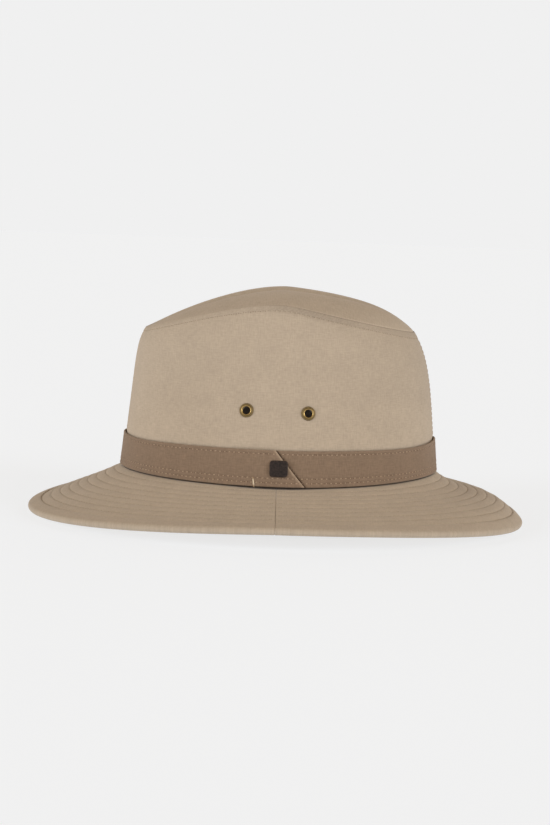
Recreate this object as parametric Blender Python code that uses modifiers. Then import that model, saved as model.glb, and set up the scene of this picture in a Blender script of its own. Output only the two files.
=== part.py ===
"""A cotton safari hat: crown wall, creased tip, lapped band with a patch, stitched brim and brass eyelets.

Metres, +Z up. The hat stands on its brim at z = 0. Its front is at -Y and the wearer's left at +X.
Theta runs round the hat from 0 at the front, through 90 degrees at the wearer's left, to the back.
"""

import math
from collections import namedtuple

import bmesh
import bpy
import numpy as np
from mathutils import Matrix, Vector

Around = namedtuple("Around", "front side back")  # a size that differs at the front, the sides and the back
Ends = namedtuple("Ends", "front back")  # a size that differs in the front half and the back half
Place = namedtuple("Place", "along height")  # a place on a side: distance behind mid length, and height
Pad = namedtuple("Pad", "share swell")  # across the padded edge: share of its width, share of its thickening
Turned = namedtuple("Turned", "out rise")  # a rolled ring: share from bore to rim, share of the ring's rise
Material = namedtuple("Material", "colour roughness metallic")

GAP = 0.0003  # between pieces that touch
STEP = 0.0001  # of angle or share, for slopes taken by differences
SECTIONS = 72  # sections round the hat, a multiple of four
WALL_ROWS = (0, 0.2, 0.4, 0.6, 0.74, 0.84, 0.91, 0.96, 1)  # shares from the foot up to the tip seam
TIP_ROWS = (0.12, 0.26, 0.40, 0.54, 0.67, 0.78, 0.87, 0.94, 1)  # shares from the middle out to the seam
BRIM_ROWS = (0, 0.2, 0.4, 0.6, 0.8, 1)  # shares from the crown out to the padded edge
PAD_ROWS = (Pad(0.35, 0.6), Pad(0.65, 1), Pad(1, 1))
EDGE_TILTS = (60, 30, 0, -30, -60)  # degrees round the edge
BAND_ROWS = (0, 0.33, 0.67, 1)  # shares from the band's foot up
BAND_SECTIONS = SECTIONS + 12

# Head opening and crown wall
HEAD = Around(0.0999, 0.0839, 0.1019)  # half-lengths of the head opening
CROWN_CLOTH = 0.0016
FOOT_HEIGHT = Around(0.0305, 0.0293, 0.0330)  # top face of the brim under the crown wall
CROWN_LEAN = Around(0.0131, 0.0195, 0.0176)  # from the foot in to the tip seam
STRAIGHT_SHARE = Around(0.65, 0.92, 0.50)  # share of the lean that is straight, the rest rounds in
ROUNDING = Around(12.7, 12.0, 5.9)  # power of the rounding under the seam
PINCH_DEPTH = 0.0025  # shallow dent on each side near the front
PINCH_ANGLE = math.radians(48)
PINCH_SPREAD = math.radians(20)
PINCH_LEVEL = 0.68  # share of the wall's height
PINCH_REACH = 0.22

# Tip seam and tip panel
SEAM_PEAK = 0.1408  # height of the seam at mid length
SEAM_FALL = Ends(0.0201, 0.0170)  # from the peak down to the seam's ends
SEAM_POWER = Ends(1.45, 0.95)
SEAM_SOFTNESS = 0.08  # share of the half-length over which the peak is rounded
PUFF = Ends(0.0060, 0.0140)  # rise of the tip's dome over the seam
DOME_POWER = Around(6.1, 2.7, 9.3)  # the higher, the rounder the dome's shoulder
CREASE_DEPTH = 0.0170
CREASE_HALF_WIDTH = 0.0180
CREASE_FADE = Around(2.0, 2.0, 2.5)  # power of the fade towards the seam

# Brim
OVERHANG = Around(0.0605, 0.0625, 0.0585)  # from the crown's foot out to the edge
BRIM_CLOTH = 0.0026
EDGE_THICK = 0.0050  # padded edge
EDGE_WIDTH = 0.0100
EDGE_LIFT = 0.0098  # edge at the sides above the edge at the front and back
LIFT_POWER = Ends(1.4, 2.4)  # the higher, the longer the edge stays low beside the front or back
FALL_START = Around(1.26, 1.0, 1.75)  # slope at the crown over the mean slope
FALL_END = Around(1.11, 1.0, 2.44)  # slope at the edge over the mean slope

# Band and its patch
BAND_CLOTH = 0.0012
BAND_HEIGHT = 0.0222
LAP_END_TOP = -0.0013  # slanted end of the lap, behind mid length
LAP_END_FOOT = 0.0171
UNDERLAP = 0.0170  # band hidden under the lap, ahead of the slanted end's top
LAP_RAMP = 0.0200  # length over which the band climbs on to its own start
PATCH_LENGTH = 0.0113
PATCH_HEIGHT = 0.0103
PATCH_THICK = 0.0010
PATCH_CORNER = 0.0016
PATCH_PLACE = Place(0.0010, 0.0408)

# Ventilation eyelets
EYELETS = {"front": Place(-0.0212, 0.0757), "back": Place(0.0193, 0.0751)}
EYELET_BORE = 0.0048
EYELET_FLANGE = 0.0088
EYELET_BARREL = 0.0058
EYELET_RISE = 0.0010  # rolled front ring over the cloth
WASHER = 0.0084
WASHER_THICK = 0.0005
EYELET_RING = (Turned(0, 0.4), Turned(0.15, 0.85), Turned(0.45, 1), Turned(0.8, 0.85))
EYELET_STEPS = 16

MATERIALS = {
    "crown cotton": Material((0.45, 0.37, 0.27), 0.90, 0.0),
    "brim cotton": Material((0.40, 0.33, 0.24), 0.90, 0.0),
    "band cotton": Material((0.22, 0.16, 0.11), 0.90, 0.0),
    "patch leather": Material((0.045, 0.035, 0.030), 0.60, 0.0),
    "antique brass": Material((0.40, 0.29, 0.11), 0.35, 1.0),
}


def grown(size, step):
    """A size all round, made larger by a step."""
    return Around(size.front + step, size.side + step, size.back + step)


FOOT = grown(HEAD, CROWN_CLOTH)
SEAM = Around(*(foot - lean for foot, lean in zip(FOOT, CROWN_LEAN)))
EDGE = Around(*(foot + reach for foot, reach in zip(FOOT, OVERHANG)))


def around(theta, size):
    """The size at an angle: its side value, blended to the front or back value by the squared cosine."""
    c = np.cos(theta)
    ahead = np.clip(c, 0, 1) ** 2
    behind = np.clip(-c, 0, 1) ** 2
    return size.side + (size.front - size.side) * ahead + (size.back - size.side) * behind


def oval(theta, half):
    """Plan points of an oval made of two half ellipses that meet at its widest place."""
    c = np.cos(theta)
    return np.stack([half.side * np.sin(theta), -np.where(c > 0, half.front, half.back) * c], -1)


def unit(vectors):
    return vectors / np.linalg.norm(vectors, axis=-1, keepdims=True)


def normals(surface, theta, share):
    """Unit normals of surface(theta, share) by central differences: out of the wall, up from tip and brim."""
    by_theta = surface(theta + STEP, share) - surface(theta - STEP, share)
    by_share = surface(theta, share + STEP) - surface(theta, share - STEP)
    turned = 1 if surface is wall else -1  # share runs up the wall, and outwards on the tip and the brim
    return turned * unit(np.cross(by_theta, by_share))


def seam_height(y):
    """The seam falls to the front and the back from a rounded peak at mid length."""
    t = np.abs(y) / np.where(y < 0, SEAM.front, SEAM.back)
    rounded = np.sqrt(t * t + SEAM_SOFTNESS**2) - SEAM_SOFTNESS
    share = rounded / (math.sqrt(1 + SEAM_SOFTNESS**2) - SEAM_SOFTNESS)
    to_front = SEAM_FALL.front * share**SEAM_POWER.front
    to_back = SEAM_FALL.back * share**SEAM_POWER.back
    return SEAM_PEAK - np.where(y < 0, to_front, to_back)


def wall(theta, share):
    """Outer face of the crown wall, from its foot (share 0) to the tip seam (share 1)."""
    foot = oval(theta, FOOT)
    seam = oval(theta, SEAM)
    straight = around(theta, STRAIGHT_SHARE)
    moved = straight * share + (1 - straight) * np.abs(share) ** around(theta, ROUNDING)
    off_front = np.arccos(np.cos(theta))
    dent = np.exp(-(((off_front - PINCH_ANGLE) / PINCH_SPREAD) ** 2) - ((share - PINCH_LEVEL) / PINCH_REACH) ** 2)
    dent = dent * PINCH_DEPTH * np.clip(1 - share, 0, 1) / (1 - PINCH_LEVEL)
    plan = foot + (seam - foot) * moved[..., None] - unit(foot) * dent[..., None]
    start = around(theta, FOOT_HEIGHT) + GAP
    height = start + (seam_height(seam[..., 1]) - start) * share
    return np.concatenate([plan, height[..., None]], -1)


def tip(theta, share):
    """Outer face of the tip panel, from its middle (share 0) to the seam (share 1): a dome with a crease."""
    plan = oval(theta, SEAM) * share[..., None]
    x, y = plan[..., 0], plan[..., 1]
    t = np.clip(0.5 + 0.5 * y / np.where(y < 0, SEAM.front, SEAM.back), 0, 1)
    puff = PUFF.front + (PUFF.back - PUFF.front) * t * t * (3 - 2 * t)
    dome = puff * (1 - share ** around(theta, DOME_POWER))
    crease = CREASE_DEPTH * np.exp(-((x / CREASE_HALF_WIDTH) ** 2)) * (1 - share ** around(theta, CREASE_FADE))
    return np.concatenate([plan, (seam_height(y) + dome - crease)[..., None]], -1)


def brim(theta, share):
    """Middle face of the brim, from the crown's foot (share 0) to the middle of the padded edge (share 1)."""
    foot = oval(theta, FOOT)
    edge = oval(theta, grown(EDGE, -EDGE_THICK / 2))
    c = np.cos(theta)
    turn = np.where(c > 0, np.abs(c) ** LIFT_POWER.front, np.abs(c) ** LIFT_POWER.back)
    start = around(theta, FOOT_HEIGHT) - BRIM_CLOTH / 2
    end = EDGE_THICK / 2 + EDGE_LIFT * (1 - turn)
    s = share
    fall = s * s * (3 - 2 * s)
    fall = fall + around(theta, FALL_START) * (s**3 - 2 * s**2 + s)
    fall = fall + around(theta, FALL_END) * (s**3 - s**2)
    plan = foot + (edge - foot) * s[..., None]
    return np.concatenate([plan, (start + (end - start) * fall)[..., None]], -1)


def loft(name, sections, whole_turn=True, poles=None):
    """A closed body through sections (an array of sections, points and coordinates).

    Without poles each section is a loop, and a part turn has both its end sections capped. With poles each
    section is open, and its ends are gathered to the two poles.
    """
    count, points = sections.shape[:2]
    bm = bmesh.new()
    rows = [[bm.verts.new(p) for p in section] for section in sections]
    for i in range(count if whole_turn else count - 1):
        near, far = rows[i], rows[(i + 1) % count]
        for j in range(points if poles is None else points - 1):
            k = (j + 1) % points
            bm.faces.new((near[j], far[j], far[k], near[k]))
    if poles is not None:
        for pole, j in zip(poles, (0, points - 1)):
            middle = bm.verts.new(pole)
            for i in range(count):
                bm.faces.new((middle, rows[i][j], rows[(i + 1) % count][j]))
    elif not whole_turn:
        bm.faces.new(rows[0])
        bm.faces.new(rows[-1])
    bmesh.ops.recalc_face_normals(bm, faces=bm.faces)
    if bm.calc_volume(signed=True) < 0:
        bmesh.ops.reverse_faces(bm, faces=bm.faces)
    return finished(name, bm)


def finished(name, bm):
    mesh = bpy.data.meshes.new(name)
    bm.to_mesh(mesh)
    bm.free()
    mesh.shade_smooth()
    mesh.set_sharp_from_angle(angle=math.radians(40))
    return bpy.data.objects.new(name, mesh)


def material(name):
    look = MATERIALS[name]
    made = bpy.data.materials.get(name) or bpy.data.materials.new(name)
    made.use_nodes = True
    shader = made.node_tree.nodes["Principled BSDF"]
    shader.inputs["Base Color"].default_value = (*look.colour, 1)
    shader.inputs["Roughness"].default_value = look.roughness
    shader.inputs["Metallic"].default_value = look.metallic
    made.diffuse_color = (*look.colour, 1)
    return made


def add(collection, parent, obj, material_name=None):
    collection.objects.link(obj)
    obj.parent = parent
    if material_name:
        obj.data.materials.clear()
        obj.data.materials.append(material(material_name))
    return obj


def seam_mitre(theta):
    """How the wall and the tip part at their seam: inwards along the mitre, and across it towards the tip."""
    ones = np.ones_like(theta)
    from_wall = normals(wall, theta, ones)
    from_tip = normals(tip, theta, ones)
    middle = unit(from_wall + from_tip)
    inward = -middle * CROWN_CLOTH / np.sum(middle * from_wall, -1, keepdims=True)
    along = wall(theta + STEP, ones) - wall(theta - STEP, ones)
    across = unit(np.cross(middle, along)) * GAP / 2
    return inward, across


def crown_side():
    """The wall: outer face up, inner face down, with its top cut on the mitre."""
    theta = np.linspace(0, 2 * math.pi, SECTIONS, endpoint=False)
    turn, share = np.meshgrid(theta, WALL_ROWS, indexing="ij")
    outer = wall(turn, share)
    inner = outer - normals(wall, turn, share) * CROWN_CLOTH
    inward, across = seam_mitre(theta)
    outer[:, -1] -= across
    inner[:, -1] = outer[:, -1] + inward
    foot = oval(theta, HEAD)
    inner[:, 0, :2] = foot
    inner[:, 0, 2] = outer[:, 0, 2]
    return loft("crown_side", np.concatenate([outer, inner[:, ::-1]], axis=1))


def crown_top():
    """The tip panel: outer face from the middle out, inner face back, with its rim cut on the mitre."""
    theta = np.linspace(0, 2 * math.pi, SECTIONS, endpoint=False)
    turn, share = np.meshgrid(theta, TIP_ROWS, indexing="ij")
    outer = tip(turn, share)
    inner = outer - normals(tip, turn, share) * CROWN_CLOTH
    inward, across = seam_mitre(theta)
    outer[:, -1] += across
    inner[:, -1] = outer[:, -1] + inward
    middle = tip(np.zeros(1), np.zeros(1))[0]
    below = middle - np.array([0, 0, CROWN_CLOTH])
    return loft("crown_top", np.concatenate([outer, inner[:, ::-1]], axis=1), poles=(middle, below))


def brim_half(name, middle, side):
    """Half the brim, about its middle angle, from one side seam to the other.

    Each section runs out along the top face, round the padded edge and back along the lower face to the
    head opening.
    """
    theta = middle + np.linspace(-math.pi / 2, math.pi / 2, SECTIONS // 2 + 1)
    pad = 1 - (EDGE_WIDTH - EDGE_THICK / 2) / (around(theta, OVERHANG) - EDGE_THICK / 2)
    share = np.stack([pad * row for row in BRIM_ROWS] + [pad + (1 - pad) * row.share for row in PAD_ROWS], -1)
    swell = np.array([0] * len(BRIM_ROWS) + [row.swell for row in PAD_ROWS])
    half_thick = (BRIM_CLOTH + (EDGE_THICK - BRIM_CLOTH) * swell) / 2
    turn = np.broadcast_to(theta[:, None], share.shape)
    face = brim(turn, share)
    up = normals(brim, turn, share)
    top = face + up * half_thick[:, None]
    low = face - up * half_thick[:, None]
    ones = np.ones_like(theta)
    outward = unit(brim(theta, ones) - brim(theta, ones - STEP))
    tilt = np.radians(EDGE_TILTS)
    radius = EDGE_THICK / 2
    round_edge = face[:, -1:] + radius * (
        np.cos(tilt)[:, None] * outward[:, None] + np.sin(tilt)[:, None] * up[:, -1:]
    )
    opening = oval(theta, HEAD)
    level = around(theta, FOOT_HEIGHT)
    mouth_top = np.concatenate([opening, level[:, None]], -1)[:, None]
    mouth_low = mouth_top - np.array([0, 0, BRIM_CLOTH])
    sections = np.concatenate([mouth_top, top, round_edge, low[:, ::-1], mouth_low], axis=1)
    sections[[0, -1], :, 1] = side * GAP / 2
    return loft(name, sections, whole_turn=False)


def side_angle(along):
    """The angle, on the wearer's left, of a place that lies some distance behind mid length."""
    half = FOOT.front if along < 0 else FOOT.back
    return math.pi / 2 + math.asin(along / half)


def hat_band():
    """An open strip round the crown's foot, thickened outwards. Its slanted end climbs over its start."""
    start = side_angle(LAP_END_TOP - UNDERLAP)
    rows = np.array(BAND_ROWS)
    slant = [side_angle(LAP_END_FOOT + (LAP_END_TOP - LAP_END_FOOT) * row) for row in rows]
    ends = 2 * math.pi + np.array(slant)
    along = np.linspace(0, 1, BAND_SECTIONS)
    theta = start + (ends[None] - start) * along[:, None]
    foot = around(theta, FOOT_HEIGHT)
    tall = seam_height(oval(theta, SEAM)[..., 1]) - foot
    share = (GAP + rows[None] * BAND_HEIGHT) / tall
    lap_start = 2 * math.pi + start
    ramp = LAP_RAMP / FOOT.front
    climb = np.clip((theta - lap_start + ramp) / ramp, 0, 1)
    climb = climb * climb * (3 - 2 * climb)
    stand = GAP + (BAND_CLOTH + GAP) * climb
    points = wall(theta, share) + normals(wall, theta, share) * stand[..., None]
    bm = bmesh.new()
    grid = [[bm.verts.new(p) for p in row] for row in points]
    for near, far in zip(grid, grid[1:]):
        for j in range(len(rows) - 1):
            bm.faces.new((near[j], far[j], far[j + 1], near[j + 1]))
    band = finished("hat_band", bm)
    solidify = band.modifiers.new("cloth", "SOLIDIFY")
    solidify.thickness = BAND_CLOTH
    solidify.offset = 1.0
    solidify.use_even_offset = True
    return band


def place_on_wall(place, mirrored=False):
    """A frame on the crown wall: X along the hat, Y up the wall, Z out of it."""
    angle = side_angle(place.along)
    foot = around(angle, FOOT_HEIGHT) + GAP
    share = float((place.height - foot) / (seam_height(oval(angle, SEAM)[1]) - foot))
    theta = -angle if mirrored else angle
    point = Vector(wall(np.array(theta), np.array(share)))
    out = Vector(normals(wall, np.array(theta), np.array(share)))
    along = Vector((0, 0, 1)).cross(out).normalized()
    up = out.cross(along)
    return Matrix.Translation(point) @ Matrix((along, up, out)).transposed().to_4x4()


def band_patch():
    """A thin plate with rounded corners, on the outside of the lap."""
    bm = bmesh.new()
    bmesh.ops.create_cube(bm, size=1)
    bmesh.ops.scale(bm, vec=(PATCH_LENGTH, PATCH_HEIGHT, PATCH_THICK), verts=bm.verts)
    upright = [e for e in bm.edges if abs((e.verts[0].co - e.verts[1].co).z) > PATCH_THICK / 2]
    bmesh.ops.bevel(bm, geom=upright, offset=PATCH_CORNER, segments=4, profile=0.5, affect="EDGES")
    patch = finished("band_patch", bm)
    stand = 2 * (GAP + BAND_CLOTH) + GAP + PATCH_THICK / 2
    patch.matrix_world = place_on_wall(PATCH_PLACE) @ Matrix.Translation((0, 0, stand))
    return patch


def eyelet_mesh():
    """Half the section of an eyelet with its washer: rolled ring, barrel, and washer inside the cloth."""
    bore = EYELET_BORE / 2
    flange = EYELET_FLANGE / 2
    barrel = EYELET_BARREL / 2
    washer = WASHER / 2
    inside = -CROWN_CLOTH - GAP
    profile = (
        *((bore + (flange - bore) * ring.out, EYELET_RISE * ring.rise) for ring in EYELET_RING),
        (flange, GAP),
        (barrel, GAP),
        (barrel, inside),
        (washer, inside),
        (washer, inside - WASHER_THICK),
        (bore, inside - WASHER_THICK),
    )
    bm = bmesh.new()
    loop = [bm.verts.new((r, 0, z)) for r, z in profile]
    for near, far in zip(loop, loop[1:] + loop[:1]):
        bm.edges.new((near, far))
    mesh = bpy.data.meshes.new("eyelet")
    bm.to_mesh(mesh)
    bm.free()
    return mesh


def eyelet(name, mesh, frame):
    obj = bpy.data.objects.new(name, mesh)
    obj.matrix_world = frame
    turn = obj.modifiers.new("turn", "SCREW")
    turn.steps = EYELET_STEPS
    turn.render_steps = EYELET_STEPS
    turn.use_merge_vertices = True
    turn.merge_threshold = 0.00001
    turn.use_smooth_shade = True
    return obj


def eyelet_hole(name, frame):
    """A round cutter through the crown wall."""
    bm = bmesh.new()
    radius = EYELET_BARREL / 2 + GAP
    bmesh.ops.create_cone(
        bm, cap_ends=True, segments=EYELET_STEPS, radius1=radius, radius2=radius, depth=6 * CROWN_CLOTH
    )
    cutter = finished(name, bm)
    cutter.matrix_world = frame
    cutter.hide_render = True
    cutter.display_type = "WIRE"
    return cutter


def main():
    for obj in list(bpy.data.objects):
        bpy.data.objects.remove(obj, do_unlink=True)
    hat = bpy.data.collections.new("safari hat")
    cutters = bpy.data.collections.new("cutters")
    bpy.context.scene.collection.children.link(hat)
    bpy.context.scene.collection.children.link(cutters)
    root = add(hat, None, bpy.data.objects.new("hat", None))

    side = add(hat, root, crown_side(), "crown cotton")
    add(hat, root, crown_top(), "crown cotton")
    add(hat, root, brim_half("brim_front", 0.0, -1), "brim cotton")
    add(hat, root, brim_half("brim_back", math.pi, 1), "brim cotton")
    add(hat, root, hat_band(), "band cotton")
    add(hat, root, band_patch(), "patch leather")

    ring = eyelet_mesh()
    for flank, mirrored in (("left", False), ("right", True)):
        for end, place in EYELETS.items():
            frame = place_on_wall(place, mirrored)
            add(hat, root, eyelet(f"eyelet_{flank}_{end}", ring, frame), "antique brass")
            hole = add(cutters, root, eyelet_hole(f"hole_{flank}_{end}", frame))
            cut = side.modifiers.new(hole.name, "BOOLEAN")
            cut.object = hole
            cut.operation = "DIFFERENCE"
            cut.solver = "EXACT"


main()
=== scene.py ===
import math
from collections import namedtuple

import bpy
import numpy as np
from mathutils import Matrix


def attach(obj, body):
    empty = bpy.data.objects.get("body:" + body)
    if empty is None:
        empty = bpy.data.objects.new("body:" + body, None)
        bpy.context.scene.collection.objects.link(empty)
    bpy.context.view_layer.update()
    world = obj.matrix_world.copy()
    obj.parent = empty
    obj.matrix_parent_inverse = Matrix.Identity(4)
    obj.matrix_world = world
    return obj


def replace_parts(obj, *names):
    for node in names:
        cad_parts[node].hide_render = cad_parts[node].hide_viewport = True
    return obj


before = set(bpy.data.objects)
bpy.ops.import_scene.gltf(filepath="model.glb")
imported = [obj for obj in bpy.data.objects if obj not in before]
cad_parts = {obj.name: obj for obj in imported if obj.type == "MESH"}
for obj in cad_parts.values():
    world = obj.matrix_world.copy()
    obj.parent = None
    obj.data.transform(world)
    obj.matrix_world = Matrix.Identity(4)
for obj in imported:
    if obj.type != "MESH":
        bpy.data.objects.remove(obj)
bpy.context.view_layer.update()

# Crown wall: one panel of khaki cotton twill that stands on the brim and leans in to the tip seam. It is
# pressed over a block, closed by a seam at the centre back, and topstitched through its allowance under the
# tip seam.
Around = namedtuple("Around", "front side back")  # a size that differs at the front, sides and back
Ends = namedtuple("Ends", "front back")  # a size that differs in the front half and the back half
Place = namedtuple("Place", "along height")  # on a side: distance behind mid length, and height
Bell = namedtuple("Bell", "size at width")  # a bell curve: its height, where its top is, its half-width
Wave = namedtuple("Wave", "size a b seed")  # unevenness: its size, how fast it changes two ways, its draw
Growing = namedtuple("Growing", "least more")  # a size that grows from its least by a share of more

GAP = 0.0003  # between pieces that touch
HEAD = Around(0.0999, 0.0839, 0.1019)  # half-lengths of the head opening
CROWN_CLOTH = 0.0016
FOOT_HEIGHT = Around(0.0305, 0.0293, 0.0330)
CROWN_LEAN = Around(0.0131, 0.0195, 0.0176)
STRAIGHT_SHARE = Around(0.65, 0.92, 0.50)  # share of the lean that is straight, the rest rounds in
ROUNDING = Around(12.7, 12.0, 5.9)
PINCH_ROUND = Bell(0.0025, math.radians(48), math.radians(20))  # a dent on each side near the front
PINCH_UP = Bell(1, 0.68, 0.22)  # the same dent over the share of the wall's height
SEAM_PEAK = 0.1408
SEAM_FALL = Ends(0.0201, 0.0170)
SEAM_POWER = Ends(1.45, 0.95)
SEAM_SOFTNESS = 0.08
BAND_HEIGHT = 0.0222
BAND_DIPS = (  # of the band's upper edge, by the angle off the front, at the crown's rounded corners
    Bell(0.0016, math.radians(25), math.radians(29)),
    Bell(0.0020, math.radians(150), math.radians(29)),
)
EYELETS = {"front": Place(-0.0212, 0.0757), "back": Place(0.0193, 0.0751)}
EYELET_FLANGE = 0.0044  # radius
EYELET_HOLE = 0.0032  # radius

FOLD = 0.00045  # radius of a pressed fold of the crown cloth
TOPSTITCH_DROP = Around(0.0030, 0.0036, 0.0050)  # topstitching under the tip seam
TOPSTITCH_GROOVE = Bell(0.00016, 0, 0.00035)  # a tight stitch pulls the cloth in
ALLOWANCE_RISE = 0.00022  # the cloth stands prouder over the seam allowance
ALLOWANCE_EDGE = 0.0004  # half-width of the step where the allowance ends
BACK_SEAM = Bell(0.00035, 0, 0.0008)  # groove of the seam at the centre back
BACK_ALLOWANCE = Bell(0.0002, 0.004, 0.003)  # swell of its allowance on each side
WALL_WAVES = (Wave(0.00022, 3.1, 38, 3), Wave(0.00008, 9, 110, 5))
WAVES_START = 0.004  # below the tip seam
WAVES_GROWTH = 0.01  # length over which they become whole
BAND_PRESS = Bell(0.00050, 0, 0.0012)  # the band's upper fold presses the wall in
EYELET_PRESS = Bell(0.00015, 0, 0.0015)  # dimple of the cloth round a clenched eyelet
FOOT_TUCK = 0.0002  # the wall's foot is sewn down into the brim's seam
TIP_ROOM = 0.0006  # the inner face ends this far under the outer one, clear of the tip

INSIDE_PAINTED_SHADE = -1.0  # painted shade: the unlined inside is drawn dark
SHADIEST_STRETCH = Bell(1, 1.78, 0.40)  # radians off the front: here the painted shade on the seam allowance is strongest
# painted shade: the puckered seam allowance under the tip seam is drawn darker
SEAM_ALLOWANCE_SHADE = Growing(0.08, 0.32)
SEAM_SHADE_DEPTH = Growing(0.0006, 0.0022)  # under the topstitching
SEAM_SHADE_EDGE = Growing(0.0010, 0.0028)  # over which it fades
PUCKER_MEAN = 0.65
PUCKER = Wave(0.35, 230, 2600, 7)
SEAM_LINE = Growing(0.20, 0.35)  # painted shade: the tip seam itself is drawn as a dark line, stronger at the back
SEAM_LINE_WIDTH = Growing(0.0003, 0.0002)
BAND_PAINTED_LIGHT = 0.20  # painted light: the cloth just over the band is drawn paler, where the brim shades it
BAND_PAINTED_LIGHT_REACH = 0.030
BAND_EDGE_SHADE = Bell(0.40, 0.0003, 0.0006)  # painted shade along the band's upper edge
BACK_PAINTED_SHADE = 0.12  # painted shade: the back of the crown is drawn a little darker
HIDDEN_FOOT = 0.003  # height behind the band that is painted dark, as shade

CHORDS = 200  # that a line over a surface is measured by
WALL_COLUMNS = 560
SEAM_STEPS = (0, 0.00006, 0.00014, 0.00026, 0.00045, 0.0008, 0.0013, 0.0018, 0.0022, 0.0026, 0.0028, 0.0030,
              0.0032, 0.0034, 0.0038, 0.0046, 0.0056, 0.0070)  # below the tip seam
SEAM_STEPS_WIDEN = 0.0022  # from here down the steps follow the topstitching
PRESS_STEPS = (-0.0024, -0.0014, -0.0008, -0.0004, 0, 0.0003, 0.0007, 0.0012, 0.0019, 0.0030)  # off the band
FOOT_STEPS = (0, 0.0012, 0.0030, 0.0110)  # above the foot
WALL_STEPS = 42  # even steps over the rest of the wall


def grown(size, step):
    """A size all round, made larger by a step."""
    return Around(size.front + step, size.side + step, size.back + step)


FOOT = grown(HEAD, CROWN_CLOTH)
SEAM = Around(*(foot - lean for foot, lean in zip(FOOT, CROWN_LEAN)))


def full_turn(count):
    """Angles of a full turn in even steps, without the last one, which would meet the first."""
    return np.linspace(0, 2 * math.pi, count, endpoint=False)


def around(theta, size):
    """The size at an angle: its side value, blended to the front or back value by the squared cosine."""
    c = np.cos(theta)
    ahead = np.clip(c, 0, 1) ** 2
    behind = np.clip(-c, 0, 1) ** 2
    return size.side + (size.front - size.side) * ahead + (size.back - size.side) * behind


def off_front(theta):
    """Angle away from the front, alike on both sides: the arc cosine of the cosine."""
    return np.arccos(np.cos(theta))


def towards_back(theta):
    """Share of the back: none ahead of the sides, whole from 120 degrees on, by the cosine between them."""
    return np.clip(-2 * np.cos(theta), 0, 1)


def oval(theta, half):
    """Plan points of an oval: two half ellipses that meet at its widest place, by sine across and cosine
    along."""
    c = np.cos(theta)
    return np.stack([half.side * np.sin(theta), -np.where(c > 0, half.front, half.back) * c], -1)


def unit(vectors):
    """Each vector over its own length."""
    return vectors / np.linalg.norm(vectors, axis=-1, keepdims=True)


def bell(distance, shape):
    """A bell curve: its size times e to the power of less the squared distance from its top, which is counted
    in half-widths."""
    return shape.size * np.exp(-(((distance - shape.at) / shape.width) ** 2))


def growing(size, share):
    """The least value of a size and a share of what comes on top."""
    return size.least + size.more * share


def quarter_round(share, least=0.0):
    """Height of a quarter round at a share of its width: the root of one less the squared rest. The root is
    taken of no less than the given least."""
    return np.sqrt(np.clip(1 - (1 - np.clip(share, 0, 1)) ** 2, least, 1))


def ripple(a, b, wave):
    """Unevenness of pressed cloth: nine sine waves of two lengths with drawn phases, averaged."""
    a = wave.a * a
    b = wave.b * b
    phase = np.random.default_rng(wave.seed).uniform(0, 2 * math.pi, (9, 2))
    turn = np.random.default_rng(wave.seed + 1).uniform(0.6, 1.5, (9, 2))
    waves = [np.sin(turn[k, 0] * a + phase[k, 0]) * np.sin(turn[k, 1] * b + phase[k, 1]) for k in range(9)]
    return wave.size * (sum(waves) / 4)


def seam_height(y):
    """The tip seam's height: a peak at mid length, rounded as a hyperbola, that falls by a power of the
    distance."""
    t = np.abs(y) / np.where(y < 0, SEAM.front, SEAM.back)
    rounded = np.sqrt(t * t + SEAM_SOFTNESS**2) - SEAM_SOFTNESS
    share = rounded / (math.sqrt(1 + SEAM_SOFTNESS**2) - SEAM_SOFTNESS)
    to_front = SEAM_FALL.front * share**SEAM_POWER.front
    to_back = SEAM_FALL.back * share**SEAM_POWER.back
    return SEAM_PEAK - np.where(y < 0, to_front, to_back)


def wall(theta, share):
    """Outer face of the wall: foot oval moved to seam oval, partly straight and partly by a high power of the
    share, less a bell-shaped dent near the front, with heights in proportion to the share."""
    foot = oval(theta, FOOT)
    seam = oval(theta, SEAM)
    straight = around(theta, STRAIGHT_SHARE)
    moved = straight * share + (1 - straight) * np.abs(share) ** around(theta, ROUNDING)
    dent = bell(off_front(theta), PINCH_ROUND) * bell(share, PINCH_UP)
    dent = dent * np.clip(1 - share, 0, 1) / (1 - PINCH_UP.at)
    plan = foot + (seam - foot) * moved[..., None] - unit(foot) * dent[..., None]
    start = around(theta, FOOT_HEIGHT) + GAP
    height = start + (seam_height(seam[..., 1]) - start) * share
    return np.concatenate([plan, height[..., None]], -1)


def normals(surface, theta, share, outward=1):
    """Unit normals of surface(theta, share): the cross product of its two slopes, by central differences."""
    step = 0.0001
    by_theta = surface(theta + step, share) - surface(theta - step, share)
    by_share = surface(theta, share + step) - surface(theta, share - step)
    return outward * unit(np.cross(by_theta, by_share))


def run_along(points):
    """Length along each line of points from its first point: the chords between them, added up."""
    chord = np.linalg.norm(np.diff(points, axis=-2), axis=-1)
    return np.concatenate([np.zeros((*chord.shape[:-1], 1)), np.cumsum(chord, axis=-1)], axis=-1)


def share_at(surface, theta, length, from_end=False):
    """The share reached by a line over the surface, at one angle, after a given length: chords are added up
    along the line, and the share is read between them. Lengths are angles by places, and so is the answer."""
    turn, share = np.meshgrid(theta, np.linspace(0, 1, CHORDS + 1), indexing="ij")
    run = run_along(surface(turn, share))
    whole = run[:, -1:]
    length = whole - length if from_end else length + 0 * whole
    line = 2 * np.arange(len(theta))[:, None]
    wanted = line + np.clip(length / whole, 0, 1)
    return np.interp(wanted.ravel(), (line + run / whole).ravel(), share.ravel()).reshape(wanted.shape)


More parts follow.
